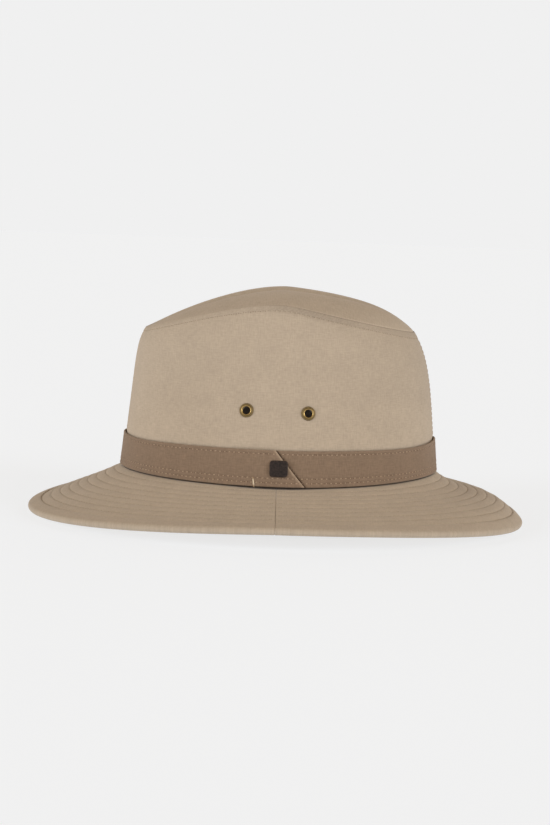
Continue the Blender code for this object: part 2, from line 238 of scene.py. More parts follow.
def mesh_object(name, points, corners, uv, marks):
    """A mesh piece from points, faces of four corners, a UV pair for each corner and marks on the points. A
    corner that repeats the one before it is dropped, so a face at a pole has three, and points that no face
    uses are left out."""
    keep = corners != np.roll(corners, 1, axis=1)
    sides = keep.sum(axis=1)
    used, loops = np.unique(corners[keep], return_inverse=True)
    mesh = bpy.data.meshes.new(name)
    mesh.vertices.add(len(used))
    mesh.vertices.foreach_set("co", points[used].astype(np.float32).ravel())
    mesh.loops.add(len(loops))
    mesh.loops.foreach_set("vertex_index", loops.astype(np.int32).ravel())
    mesh.polygons.add(len(sides))
    mesh.polygons.foreach_set("loop_start", (np.cumsum(sides) - sides).astype(np.int32))
    mesh.polygons.foreach_set("use_smooth", np.ones(len(sides), dtype=bool))
    layer = mesh.uv_layers.new(name="cloth")
    layer.data.foreach_set("uv", uv[keep].astype(np.float32).ravel())
    for mark, values in marks.items():
        attribute = mesh.attributes.new(mark, "FLOAT", "POINT")
        attribute.data.foreach_set("value", values[used].astype(np.float32))
    mesh.update(calc_edges=True)
    mesh.validate()
    piece = bpy.data.objects.new(name, mesh)
    bpy.context.scene.collection.objects.link(piece)
    return piece


def panel(name, outer, inner, uv, painted_shade_light_and_wear, outward=1, whole=True, cut=None, pole=False, inside=0.0):
    """A closed sheet from two point grids, angles by rows: its outer face, its inner face with the corners in
    reverse, and a rim face between them at each free edge of the outer one. Cells marked in cut are left
    open. The mark is given for the outer face, and changed on the inner one by the step inside, which is
    painted shade where it is below zero."""
    count, rows = outer.shape[:2]
    index = np.arange(count * rows).reshape(count, rows)
    if pole:
        index[:, 0] = 0
    if whole:
        index = np.concatenate([index, index[:1]])
    uv_index = np.arange(len(index) * rows).reshape(len(index), rows)
    keep = np.ones((len(index) - 1, rows - 1), dtype=bool) if cut is None else ~cut
    faces, places = (
        np.stack([grid[:-1, :-1], grid[1:, :-1], grid[1:, 1:], grid[:-1, 1:]], -1)[keep][:, ::outward]
        for grid in (index, uv_index)
    )
    following = np.roll(faces, -1, axis=1)
    total = count * rows
    free = ~np.isin(faces * total + following, following * total + faces) & (faces != following)
    near, far = faces[free], following[free]
    near_uv, far_uv = places[free], np.roll(places, -1, axis=1)[free]
    corners = np.concatenate([
        faces, faces[:, ::-1] + total, np.stack([far, near, near + total, far + total], -1)
    ])
    uv_corners = np.concatenate([
        places, places[:, ::-1], np.stack([far_uv, near_uv, near_uv, far_uv], -1)
    ])
    points = np.concatenate([outer.reshape(-1, 3), inner.reshape(-1, 3)])
    marks = {"painted_shade_light_and_wear": np.concatenate([painted_shade_light_and_wear.ravel(), painted_shade_light_and_wear.ravel() + inside])}
    return mesh_object(name, points, corners, uv.reshape(-1, 2)[uv_corners], marks)


def side_angle(along):
    """The angle, on the wearer's left, of a place at some distance behind mid length, by the arc sine."""
    half = FOOT.front if along < 0 else FOOT.back
    return math.pi / 2 + math.asin(along / half)


def place_on_wall(place, mirrored=False):
    """A place on the wall as its point and three unit axes: along the hat, up the wall, and out of it."""
    angle = side_angle(place.along)
    foot = around(angle, FOOT_HEIGHT) + GAP
    share = np.array((place.height - foot) / (seam_height(oval(angle, SEAM)[1]) - foot))
    theta = np.array(-angle if mirrored else angle)
    out = normals(wall, theta, share)
    along = unit(np.cross((0, 0, 1), out))
    return wall(theta, share), along, np.cross(out, along), out


def band_top(theta):
    """Height of the band's upper edge over its foot: its full height, less a bell-shaped dip at each
    corner."""
    return BAND_HEIGHT - sum(bell(off_front(theta), hole_shade) for hole_shade in BAND_DIPS)


def wall_relief(theta, below):
    """Rise of the wall's cloth over its plain shape: the seam allowance under a fold that is a quarter round,
    the groove of the topstitching, the seam at the centre back as a bell-shaped groove between two swells,
    and shallow waves left by the pressing. It takes the angle and the length under the tip seam."""
    drop = around(theta, TOPSTITCH_DROP)
    rise = FOLD * (quarter_round(below / FOLD) - 1)
    rise = rise + ALLOWANCE_RISE * np.clip((drop + ALLOWANCE_EDGE - below) / (2 * ALLOWANCE_EDGE), 0, 1)
    rise = rise - bell(below - drop, TOPSTITCH_GROOVE)
    off_back = np.abs(np.pi - np.mod(theta, 2 * np.pi)) * FOOT.side
    rise = rise - bell(off_back, BACK_SEAM) + bell(off_back, BACK_ALLOWANCE)
    free = np.clip((below - WAVES_START) / WAVES_GROWTH, 0, 1)
    return rise + free * sum(ripple(theta, below, wave) for wave in WALL_WAVES)


theta = full_turn(WALL_COLUMNS)
to_band = band_top(theta)[:, None] + PRESS_STEPS
above = share_at(wall, theta, np.concatenate([np.tile(FOOT_STEPS, (WALL_COLUMNS, 1)), to_band], axis=1))
widening = around(theta, TOPSTITCH_DROP)[:, None] - TOPSTITCH_DROP.front
widening = widening * np.clip(np.array(SEAM_STEPS) / SEAM_STEPS_WIDEN, 0, 1)
below = share_at(wall, theta, SEAM_STEPS + widening, from_end=True)
even = above[:, -1:] + (below[:, -1:] - above[:, -1:]) * np.linspace(0, 1, WALL_STEPS)[None]
share = np.concatenate([above[:, :-1], even, below[:, -2::-1]], axis=1)
turn = np.broadcast_to(theta[:, None], share.shape)
face = wall(turn, share)
out = normals(wall, turn, share)
run = run_along(face)
from_seam = run[:, -1:] - run
over_band = run - band_top(theta)[:, None]
outer = face + out * (wall_relief(turn, from_seam) - bell(over_band, BAND_PRESS))[..., None]
inner = face - out * CROWN_CLOTH
inner[:, -1, 2] -= TIP_ROOM
outer[:, 0, 2] -= GAP + FOOT_TUCK
inner[:, 0, 2] -= GAP + FOOT_TUCK
cut = np.zeros((WALL_COLUMNS, share.shape[1] - 1), dtype=bool)
for place in EYELETS.values():
    for mirrored in (False, True):
        centre, along, up, ahead = place_on_wall(place, mirrored)
        reach = np.linalg.norm(face - centre, axis=-1)
        outer -= out * bell(np.clip(reach - EYELET_FLANGE, 0, None), EYELET_PRESS)[..., None]
        ring = np.concatenate([reach, reach[:1]])
        middle = (ring[:-1, :-1] + ring[1:, :-1] + ring[1:, 1:] + ring[:-1, 1:]) / 4
        hole = middle < EYELET_HOLE
        cut |= hole
        inside = np.pad(hole, ((1, 0), (1, 1)), mode="constant")
        inside[0] = inside[-1]
        touched = inside[:-1, :-1] | inside[1:, :-1] | inside[:-1, 1:] | inside[1:, 1:]
        spokes = unit(((face - centre) @ np.stack([along, up], -1)) + 1e-9) @ np.stack([along, up])
        round_edge = centre + spokes * EYELET_HOLE
        outer = np.where(touched[..., None], round_edge, outer)
        inner = np.where(touched[..., None], round_edge - ahead * CROWN_CLOTH, inner)
girth = run_along(wall(np.append(theta, 2 * math.pi), np.full(WALL_COLUMNS + 1, 0.5)))
run_uv = np.concatenate([run, run[:1]])
uv = np.stack([np.broadcast_to(girth[:, None], run_uv.shape), run_uv], -1)
# painted shade of the puckered seam allowance between the tip seam and the topstitching
shaded = bell(off_front(turn), SHADIEST_STRETCH)
behind = towards_back(turn)
depth = around(turn, TOPSTITCH_DROP) + growing(SEAM_SHADE_DEPTH, shaded)
allowance = np.clip((depth - from_seam) / growing(SEAM_SHADE_EDGE, shaded), 0, 1)
painted_shade_light_and_wear = -growing(SEAM_ALLOWANCE_SHADE, shaded) * (PUCKER_MEAN + ripple(turn, from_seam, PUCKER)) * allowance
# painted shade along the tip seam
painted_shade_light_and_wear = painted_shade_light_and_wear - growing(SEAM_LINE, behind) * bell(from_seam, Bell(1, 0, growing(SEAM_LINE_WIDTH, behind)))
# painted light over the band
painted_shade_light_and_wear = painted_shade_light_and_wear + BAND_PAINTED_LIGHT * np.clip(1 - np.abs(over_band) / BAND_PAINTED_LIGHT_REACH, 0, 1)
# painted shade at the back of the crown
painted_shade_light_and_wear = painted_shade_light_and_wear - BACK_PAINTED_SHADE * np.clip(-np.cos(turn), 0, 1) ** 4
# painted shade along the band's upper edge and on the foot behind the band
painted_shade_light_and_wear = painted_shade_light_and_wear - bell(over_band, BAND_EDGE_SHADE) - np.clip(2 - run / HIDDEN_FOOT, 0, 1)
crown_side = panel("crown_side_cloth", outer, inner, uv, painted_shade_light_and_wear, cut=cut, inside=INSIDE_PAINTED_SHADE)
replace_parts(crown_side, "crown_side")
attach(crown_side, "root")

TWILL_RIB = 0.0006  # between two ribs
RIB_LEAN = math.radians(63)
WAVE_LENGTH = 0.31416  # that a Wave texture of scale 1 repeats at
# Thick and thin places in a metre, across a yarn and along it: 0.8 mm and 4 mm each. Real yarns are 0.3 mm
# across, and are drawn coarser to show.
YARN_CHANGES = (1300, 240)
SHADE_CHANGES = 75.0  # in a metre: slow changes of shade, 13 mm each


def linear(code):
    """An sRGB hex colour as opaque linear light: a straight part near black, a power of 2.4 above it."""
    values = [int(code[i : i + 2], 16) / 255 for i in (1, 3, 5)]
    return (*(v / 12.92 if v <= 0.04045 else ((v + 0.055) / 1.055) ** 2.4 for v in values), 1.0)


def node(tree, kind, sockets=None, **settings):
    """Adds a node with its settings. A socket, by name or number, is given a value or another node's output.
    Sockets 1 to 4 of a Map Range are the range it reads and the range it gives, 6 and 7 of a colour Mix are
    its two colours, and 3 of a vector Scale is its factor."""
    made = tree.nodes.new(kind)
    for key, value in settings.items():
        setattr(made, key, value)
    for key, value in (sockets or {}).items():
        if isinstance(value, bpy.types.NodeSocket):
            tree.links.new(value, made.inputs[key])
        else:
            made.inputs[key].default_value = value
    return made


def empty_material(name):
    """A new material with no nodes but its output."""
    made = bpy.data.materials.new(name)
    made.use_nodes = True
    made.node_tree.nodes.clear()
    return made, made.node_tree, made.node_tree.nodes.new("ShaderNodeOutputMaterial")


def cotton_twill(name, colour, paler, painted_shade, mottle):
    """Brushed cotton twill, piece dyed and pressed: matt with a faint bloom of loose fibre, diagonal ribs 0.6
    mm apart, uneven yarns a few millimetres long, and slow changes of shade. The mark on its points mixes in
    the paler tint above zero, along folds and as painted light, and the dark colour below zero, which is
    painted shade in creases, grooves, seams and hidden places, and a darker rolled edge on the brim."""
    made, tree, output = empty_material(name)
    cloth = node(tree, "ShaderNodeUVMap", uv_map="cloth").outputs["UV"]
    across, along = YARN_CHANGES
    warp = node(tree, "ShaderNodeMapping", {"Vector": cloth, "Scale": (across, along, 1)}).outputs[0]
    weft = node(tree, "ShaderNodeMapping", {"Vector": cloth, "Scale": (along, across, 1)}).outputs[0]
    warp_yarn = node(tree, "ShaderNodeTexNoise", {"Vector": warp, "Scale": 1.0, "Detail": 2.0},
                     noise_dimensions="2D")
    weft_yarn = node(tree, "ShaderNodeTexNoise", {"Vector": weft, "Scale": 1.0, "Detail": 2.0},
                     noise_dimensions="2D")
    yarn = node(tree, "ShaderNodeMath", {0: warp_yarn.outputs[0], 1: weft_yarn.outputs[0]}, operation="ADD")
    shade = node(tree, "ShaderNodeTexNoise", {"Vector": cloth, "Scale": SHADE_CHANGES, "Detail": 4.0},
                 noise_dimensions="2D")
    ribs = node(tree, "ShaderNodeMapping", {"Vector": cloth, "Rotation": (0, 0, RIB_LEAN)}).outputs[0]
    twill = node(tree, "ShaderNodeTexWave", {"Vector": ribs, "Scale": WAVE_LENGTH / TWILL_RIB,
                 "Distortion": 1.2, "Detail": 1.0, "Detail Scale": 2.0}, wave_type="BANDS",
                 bands_direction="X")
    uneven = node(tree, "ShaderNodeMapRange", {"Value": yarn.outputs[0], 1: 0.6, 2: 1.4, 3: 1 - mottle,
                  4: 1 + mottle}, clamp=False)
    slow = node(tree, "ShaderNodeMapRange", {"Value": shade.outputs[0], 1: 0.3, 2: 0.7, 3: 0.974, 4: 1.026},
                clamp=False)
    both = node(tree, "ShaderNodeMath", {0: uneven.outputs[0], 1: slow.outputs[0]}, operation="MULTIPLY")
    # the mark: painted light and paler folds above zero, painted shade below it
    surface_mark = node(tree, "ShaderNodeAttribute", attribute_name="painted_shade_light_and_wear").outputs["Fac"]
    # how much of the dark painted shade colour is mixed in
    crease = node(tree, "ShaderNodeMapRange", {"Value": surface_mark, 1: -1.0, 2: 0.0, 3: 0.93, 4: 0.0})
    # the paler tint, for folds and painted light
    tint = node(tree, "ShaderNodeMix", {"Factor": surface_mark, 6: linear(colour), 7: linear(paler)},
                data_type="RGBA")
    tone = node(tree, "ShaderNodeVectorMath", {0: tint.outputs[2], 3: both.outputs[0]}, operation="SCALE")
    shaded = node(tree, "ShaderNodeMix", {"Factor": crease.outputs[0], 6: tone.outputs[0], 7: linear(painted_shade)},
                 data_type="RGBA")
    height = node(tree, "ShaderNodeMath", {0: twill.outputs["Fac"], 1: yarn.outputs[0]}, operation="ADD")
    relief = node(tree, "ShaderNodeBump", {"Height": height.outputs[0], "Strength": 0.35,
                  "Distance": 0.00012})
    shader = node(tree, "ShaderNodeBsdfPrincipled", {"Base Color": shaded.outputs[2],
                  "Normal": relief.outputs[0], "Roughness": 0.92, "Specular IOR Level": 0.25, "IOR": 1.45,
                  "Sheen Weight": 0.12, "Sheen Roughness": 0.5})
    tree.links.new(shader.outputs[0], output.inputs[0])
    return made


# The base is a middle khaki for them all. The light makes the wall, tip and brim differ, helped by painted
# light beside the crown and over the band. The last colour is the dark one of painted shade.
khaki_twill = cotton_twill("khaki cotton twill", "#B0A18F", "#C4B4A0", "#30231B", 0.092)
crown_side.data.materials.append(khaki_twill)

# Tip panel: the oval top of the crown, cut from the same khaki twill. It is domed, folded inwards along a
# crease in its middle, and sewn to the wall face to face, so its rim turns down in a fold.
PUFF = Ends(0.0060, 0.0140)
DOME_POWER = Around(6.1, 2.7, 9.3)
CREASE = Bell(0.0170, 0, 0.0180)  # across the hat
CREASE_FADE = Around(2.0, 2.0, 2.5)
TIP_WAVE = Wave(0.00025, 70, 45, 11)
TIP_WAVE_START = 0.012  # in from the seam, where the waves are whole
TIP_EDGE = Bell(1, 0.0004, 0.0007)  # its fold is drawn paler, more so at the back
TIP_EDGE_PALE = Growing(0.20, 0.35)
TIP_TUCK = 0.0002  # the inner face's rim lies this far under the outer one's
POLE_SHARE = 0.002  # nearer the middle than this, the slopes are taken here
TIP_COLUMNS = 480
TIP_STEPS = 50
TIP_SEAM_STEPS = 9  # of the wall's steps from the seam


def tip(theta, share):
    """Outer face of the tip: the seam's height over the seam oval shrunk by the share, plus a dome that falls
    by a power of the share, less a crease that is a bell curve across the hat and fades towards the seam."""
    plan = oval(theta, SEAM) * share[..., None]
    x, y = plan[..., 0], plan[..., 1]
    t = np.clip(0.5 + 0.5 * y / np.where(y < 0, SEAM.front, SEAM.back), 0, 1)
    puff = PUFF.front + (PUFF.back - PUFF.front) * t * t * (3 - 2 * t)
    dome = puff * (1 - np.abs(share) ** around(theta, DOME_POWER))
    crease = bell(x, CREASE) * (1 - np.abs(share) ** around(theta, CREASE_FADE))
    return np.concatenate([plan, (seam_height(y) + dome - crease)[..., None]], -1)


theta = full_turn(TIP_COLUMNS)
rim = share_at(tip, theta, np.array([SEAM_STEPS[:TIP_SEAM_STEPS]]), from_end=True)
share = np.concatenate([rim[:, -1:] * np.linspace(0, 1, TIP_STEPS)[None], rim[:, -2::-1]], axis=1)
turn = np.broadcast_to(theta[:, None], share.shape)
face = tip(turn, share)
out = normals(tip, turn, np.maximum(share, POLE_SHARE), outward=-1)
run = run_along(face)
inwards = run[:, -1:] - run
waves = ripple(face[..., 0], face[..., 1], TIP_WAVE) * np.clip(inwards / TIP_WAVE_START, 0, 1)
outer = face + out * (FOLD * (quarter_round(inwards / FOLD) - 1) + waves)[..., None]
inner = face - out * CROWN_CLOTH
inner[:, -1, 2] -= TIP_TUCK
uv = np.concatenate([face, face[:1]])[..., :2]
# the tip's fold is drawn paler, more so at the back
painted_shade_light_and_wear = growing(TIP_EDGE_PALE, towards_back(turn)) * bell(inwards, TIP_EDGE)
crown_top = panel("crown_top_cloth", outer, inner, uv, painted_shade_light_and_wear, outward=-1, pole=True, inside=INSIDE_PAINTED_SHADE)
crown_top.data.materials.append(khaki_twill)
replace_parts(crown_top, "crown_top")
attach(crown_top, "root")

# Crown stitching: lockstitch in khaki cotton thread, one row through the allowance under the tip seam and one
# on each side of the seam at the centre back. Each stitch dips into the cloth at both ends.
STITCH_PITCH = 0.0031
STITCH_LENGTH = STITCH_PITCH * 0.90  # that shows between two needle holes
CROWN_THREAD = 0.00046  # thickness
STITCH_SIDES = 5  # of a stitch's rings
STITCH_RINGS = np.array([-0.78, 0.0, 0.78])  # their places, as shares of half its length
STITCH_WIDTHS = np.array([0.90, 1.0, 0.90])  # their widths, as shares of the thread's
STITCH_STAND = 0.10  # of its middle over the cloth, as a share of the thread's thickness
STITCH_DIP = 0.60  # and of its ends under that
STITCH_TIP_DIP = 0.9  # and of its last points under the cloth
STITCH_SHADE = 0.9  # rise of the painted hole shade from a stitch's middle to its ends
STITCH_LEAN = math.radians(7)
STITCH_LOOSENESS = (-0.12, 0.14)  # drawn for each stitch, and added to its painted hole shade
BACK_ROWS = (-0.0035, 0.0035)  # beside the seam at the centre back
BACK_ROW_START = 0.0068  # under the tip seam
BACK_ROW_CLEAR = 0.0012  # over the band
SEAM_POINTS = 1440  # that the long row is measured by
BACK_POINTS = 60
BACK_CHORDS = 100  # that the wall's height at the back is measured by


def along_line(points, out, pitch):
    """Places spaced evenly on a line of points with normals: lengths are added up, and each coordinate is
    read at the middle of every pitch. Gives centres, directions and normals. A direction is that between two
    points a short reach behind and ahead."""
    run = run_along(points)
    count = max(1, round(run[-1] / pitch))
    wanted = (np.arange(count) + 0.5) / count * run[-1]
    reach = 0.0004
    centre, before, after, normal = (
        np.stack([np.interp(wanted + shift, run, grid[:, k]) for k in range(3)], -1)
        for shift, grid in ((0, points), (-reach, points), (reach, points), (0, out))
    )
    return centre, unit(after - before), unit(normal)


def stitch_rows(name, rows, length, thread):
    """One mesh of stitches. Each is a thin spindle of three rings, closed by two points: its middle stands on
    the cloth, its ends dip by a fourth power of the distance, and it lies a little across its row. The mark
    on its points is painted shade of the needle holes: it rises from its middle to its ends, and by a drawn
    share for each stitch."""
    centre, level, normal = (np.concatenate([row[k] for row in rows]) for k in range(3))
    square = np.cross(normal, level)
    along = level * math.cos(STITCH_LEAN) + square * math.sin(STITCH_LEAN)
    across = square * math.cos(STITCH_LEAN) - level * math.sin(STITCH_LEAN)
    stand = (STITCH_STAND * thread - STITCH_DIP * thread * STITCH_RINGS**4)[:, None, None, None]
    width = STITCH_WIDTHS * thread / 2
    spoke = full_turn(STITCH_SIDES) + math.pi / 2
    ring = (
        STITCH_RINGS[:, None, None, None] * length / 2 * along
        + stand * normal
        + (width[:, None] * np.sin(spoke))[..., None, None] * normal
        + (width[:, None] * np.cos(spoke))[..., None, None] * across
    )
    tips = np.array([-1, 1])[:, None, None] * length / 2 * along - STITCH_TIP_DIP * thread * normal
    count = len(centre)
    points = np.concatenate([ring.reshape(-1, count, 3), tips]) + centre
    j = np.arange(STITCH_SIDES)
    k = (j + 1) % STITCH_SIDES
    first, second, third = STITCH_SIDES * np.arange(3)
    sides = [np.stack([a + j, a + k, b + k, b + j], -1) for a, b in ((first, second), (second, third))]
    start, end = 0 * j + len(points) - 2, 0 * j + len(points) - 1
    caps = [np.stack([start, start, k, j], -1), np.stack([end, end, third + j, third + k], -1)]
    faces = np.concatenate([*sides, *caps])
    corners = (faces[None] + len(points) * np.arange(count)[:, None, None]).reshape(-1, 4)
    places = points.transpose(1, 0, 2).reshape(-1, 3)
    # painted shade: the ends of each stitch are drawn darker where they go into the needle holes
    hole_shade = np.concatenate([np.repeat(np.abs(STITCH_RINGS) * STITCH_SHADE, STITCH_SIDES), [1, 1]])
    loose = np.random.default_rng(count).uniform(*STITCH_LOOSENESS, (count, 1))
    hole_shade = np.clip(hole_shade + loose, 0, 1).ravel()
    piece = mesh_object(name, places, corners, np.zeros((len(corners), 4, 2)), {"hole_shade": hole_shade})
    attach(piece, "root")
    return piece


def cotton_thread(name, colour, hole):
    """Two-ply mercerised cotton sewing thread: rounder and a little glossier than the cloth, with plies
    twisted about 0.5 mm apart. The twist is drawn as fine light and dark flecks, and the ends take the hole
    colour as painted shade of the needle holes."""
    made, tree, output = empty_material(name)
    place = node(tree, "ShaderNodeTexCoord").outputs["Object"]
    ply = node(tree, "ShaderNodeTexNoise", {"Vector": place, "Scale": 1800.0, "Detail": 1.0})
    light = node(tree, "ShaderNodeMapRange", {"Value": ply.outputs[0], 1: 0.35, 2: 0.65, 3: 0.90, 4: 1.08})
    # painted shade of the needle holes, mixed in towards the ends
    hole_shade = node(tree, "ShaderNodeAttribute", attribute_name="hole_shade").outputs["Fac"]
    depth = node(tree, "ShaderNodeMapRange", {"Value": hole_shade, 1: 0.20, 2: 0.65, 3: 0.0, 4: 1.0},
                 interpolation_type="SMOOTHSTEP")
    tint = node(tree, "ShaderNodeMix", {"Factor": depth.outputs[0], 6: linear(colour), 7: linear(hole)},
                data_type="RGBA")
    tone = node(tree, "ShaderNodeVectorMath", {0: tint.outputs[2], 3: light.outputs[0]}, operation="SCALE")
    relief = node(tree, "ShaderNodeBump", {"Height": ply.outputs[0], "Strength": 0.3, "Distance": 0.0001})
    shader = node(tree, "ShaderNodeBsdfPrincipled", {"Base Color": tone.outputs[0],
                  "Normal": relief.outputs[0], "Roughness": 0.7, "Specular IOR Level": 0.35, "IOR": 1.47})
    tree.links.new(shader.outputs[0], output.inputs[0])
    return made


def wall_line(theta, below):
    """A line over the wall at some distance under the tip seam, with its normals, on the sunken cloth."""
    share = share_at(wall, theta, below[:, None], from_end=True)[:, 0]
    out = normals(wall, theta, share)
    return wall(theta, share) + out * wall_relief(theta, below)[:, None], out


theta = np.linspace(0, 2 * math.pi, SEAM_POINTS)
rows = [along_line(*wall_line(theta, around(theta, TOPSTITCH_DROP)), STITCH_PITCH)]
back_line = wall(np.full(BACK_CHORDS + 1, math.pi), np.linspace(0, 1, BACK_CHORDS + 1))
back_length = run_along(back_line)[-1]
drop = np.linspace(BACK_ROW_START, back_length - BAND_HEIGHT - BACK_ROW_CLEAR, BACK_POINTS)
for shift in BACK_ROWS:
    beside = np.full(BACK_POINTS, math.pi + shift / FOOT.side)
    rows.append(along_line(*wall_line(beside, drop), STITCH_PITCH))
crown_thread = stitch_rows("crown_stitches", rows, STITCH_LENGTH, CROWN_THREAD)
# the second colour is the painted shade in the needle holes
khaki_thread = cotton_thread("khaki cotton thread", "#B0A08D", "#7E6D57")
crown_thread.data.materials.append(khaki_thread)

# Brim: two layers of khaki twill over a stiffener, in a front and a back half joined by a pressed seam at
# each side. Nine rows of stitching quilt the layers together, and the outer edge is rolled over a soft cord.
OVERHANG = Around(0.0605, 0.0625, 0.0585)
BRIM_CLOTH = 0.0026
EDGE_THICK = 0.0050
EDGE_LIFT = 0.0098
LIFT_POWER = Ends(1.4, 2.4)
FALL_START = Around(1.26, 1.0, 1.75)
FALL_END = Around(1.11, 1.0, 2.44)
EDGE = Around(*(foot + reach for foot, reach in zip(FOOT, OVERHANG)))
SIDE_FOLD = 0.0004  # radius
SEAM_GAP = 0.00004  # between the two halves, which are drawn tight together

QUILT_ROWS = 9
FIRST_ROW = 0.0052  # from the crown's foot
LAST_ROW = 0.0075  # from the middle of the rolled edge
QUILT_PUFF = 0.00020
QUILT_GROOVE = Bell(0.00024, 0, 0.00048)
QUILT_DEPTH = Growing(0.75, 0.25)  # share of it, which is whole at the front and back
QUILT_TIGHTNESS = Wave(0.45, 70, 3.1, 21)
BRIM_WAVE = Wave(0.00007, 34, 260, 23)
TRENCH = Growing(0.0001, 0.0001)  # the seam draws the brim down beside the crown, and deeper under the lap
TRENCH_WIDTH = 0.0012
TRENCH_NARROWING = Growing(1, -0.5)  # at the front and back
TRENCH_SLOPE = 0.0008
LAP = Bell(1, math.pi / 2, 0.22)  # where the band's lap lies on the crown, as an angle
LAP_WIDENING = 0.0012  # of the trench under the lap

# the cloth over the rolled edge is drawn darker
EDGE_DARKENING = Bell(0.10, 0, 0.0020)
EDGE_DARKENING_START = 0.002  # in from the rolled edge
BRIM_PAINTED_LIGHT = 0.44  # painted light: the cloth beside the crown is drawn paler
BRIM_PAINTED_LIGHT_WIDTH = 0.070
BRIM_PAINTED_LIGHT_SHARE = Growing(1, -0.7)  # less at the front and back
# painted shade in the trench beside the crown, under the band, stronger under the lap
TRENCH_SHADE = Growing(1.0, 0.4)
TRENCH_SHADE_EDGE = 0.0006
# painted shade along each row of stitches, stronger at the front and back
ROW_SHADE = Growing(0.08, 0.14)
ROW_SHADE_LINE = Bell(1, 0, 0.00045)
# painted shade along the side seams
SIDE_SEAM_SHADE = Bell(0.34, 0, 0.00025)
SIDE_SEAM_END = 0.008  # the painted seam shade stops this far short of the rolled edge

START_STEPS = (0.0001, 0.0007, 0.0014, 0.0020, 0.0026, 0.0032)  # from the crown's foot
ROW_STEPS = (-0.0012, -0.0006, -0.00026, 0, 0.00026, 0.0006, 0.0012)  # across a row of stitches
PAD_STEPS = (0.12, 0.24, 0.36, 0.50, 0.64, 0.78, 0.90, 1.0)  # shares from the last row to the rolled edge
ROLL = (72, 54, 36, 18, 4)  # degrees round the rolled edge
EDGE_STEP = 0.001  # share over which the brim's slope at its edge is read
SIDE_STEPS = (0, 0.00008, 0.0002, 0.0004, 0.0007, 0.0012)  # from the side seam
BRIM_COLUMNS = 400


def brim(theta, share):
    """Middle face of the brim: foot oval moved straight out to the edge oval, while the height falls by a
    cubic with its own slopes at the crown and at the edge. The edge is lower at the front and back than at
    the sides."""
    foot = oval(theta, FOOT)
    edge = oval(theta, grown(EDGE, -EDGE_THICK / 2))
    c = np.cos(theta)
    turn = np.where(c > 0, np.abs(c) ** LIFT_POWER.front, np.abs(c) ** LIFT_POWER.back)
    start = around(theta, FOOT_HEIGHT) - BRIM_CLOTH / 2
    end = EDGE_THICK / 2 + EDGE_LIFT * (1 - turn)
    s = share
    fall = s * s * (3 - 2 * s)
    fall = fall + around(theta, FALL_START) * (s**3 - 2 * s**2 + s)
    fall = fall + around(theta, FALL_END) * (s**3 - s**2)
    plan = foot + (edge - foot) * s[..., None]
    return np.concatenate([plan, (start + (end - start) * fall)[..., None]], -1)


def quilt_places(theta):
    """Distances of the nine stitch rows from the crown's foot at each angle: evenly spread over the length of
    the brim's middle face, which is added up from chords."""
    turn, share = np.meshgrid(theta, np.linspace(0, 1, CHORDS + 1), indexing="ij")
    last = run_along(brim(turn, share))[:, -1] - LAST_ROW
    return FIRST_ROW + (last - FIRST_ROW)[:, None] * np.linspace(0, 1, QUILT_ROWS)[None]


def trench_reach(theta):
    """Width of the trench beside the crown: less at the front and back by the squared cosine, and more, as a
    bell, under the lap."""
    return TRENCH_WIDTH * growing(TRENCH_NARROWING, np.cos(theta) ** 2) + LAP_WIDENING * bell(theta, LAP)


def row_distance(run, rows):
    """Distance of each place to the nearest row of stitches."""
    return np.min(np.abs(run[..., None] - rows[:, None, :]), axis=-1)


def brim_relief(theta, run, rows, last):
    """Half thickness of the brim: cloth that puffs between the rows by a squared sine, sinks at each row as a
    bell, unevenly along it and less at the sides, lies in a trench beside the crown, and swells past the last
    row to the cord in the edge as a quarter round."""
    pitch = (last - FIRST_ROW) / (QUILT_ROWS - 1)
    deep = growing(QUILT_DEPTH, np.cos(theta) ** 2)
    phase = (run - FIRST_ROW) / pitch
    quilted = np.clip(phase, 0, QUILT_ROWS - 1)
    puff = QUILT_PUFF * deep * np.sin(np.pi * quilted) ** 2
    tight = 1 + ripple(theta + 0 * run, np.round(quilted), QUILT_TIGHTNESS)
    sink = deep * bell(row_distance(run, rows), QUILT_GROOVE) * tight
    trench = growing(TRENCH, bell(theta, LAP))
    sink = sink + trench * np.clip((trench_reach(theta) - run) / TRENCH_SLOPE + 1, 0, 1)
    swell = quarter_round((run - last) / LAST_ROW)
    half = BRIM_CLOTH / 2 + (EDGE_THICK - BRIM_CLOTH) / 2 * swell
    waves = ripple(theta + 0 * run, run, BRIM_WAVE) * (1 - swell)
    return half + (puff + waves) * (phase > 0) * (1 - swell) - sink


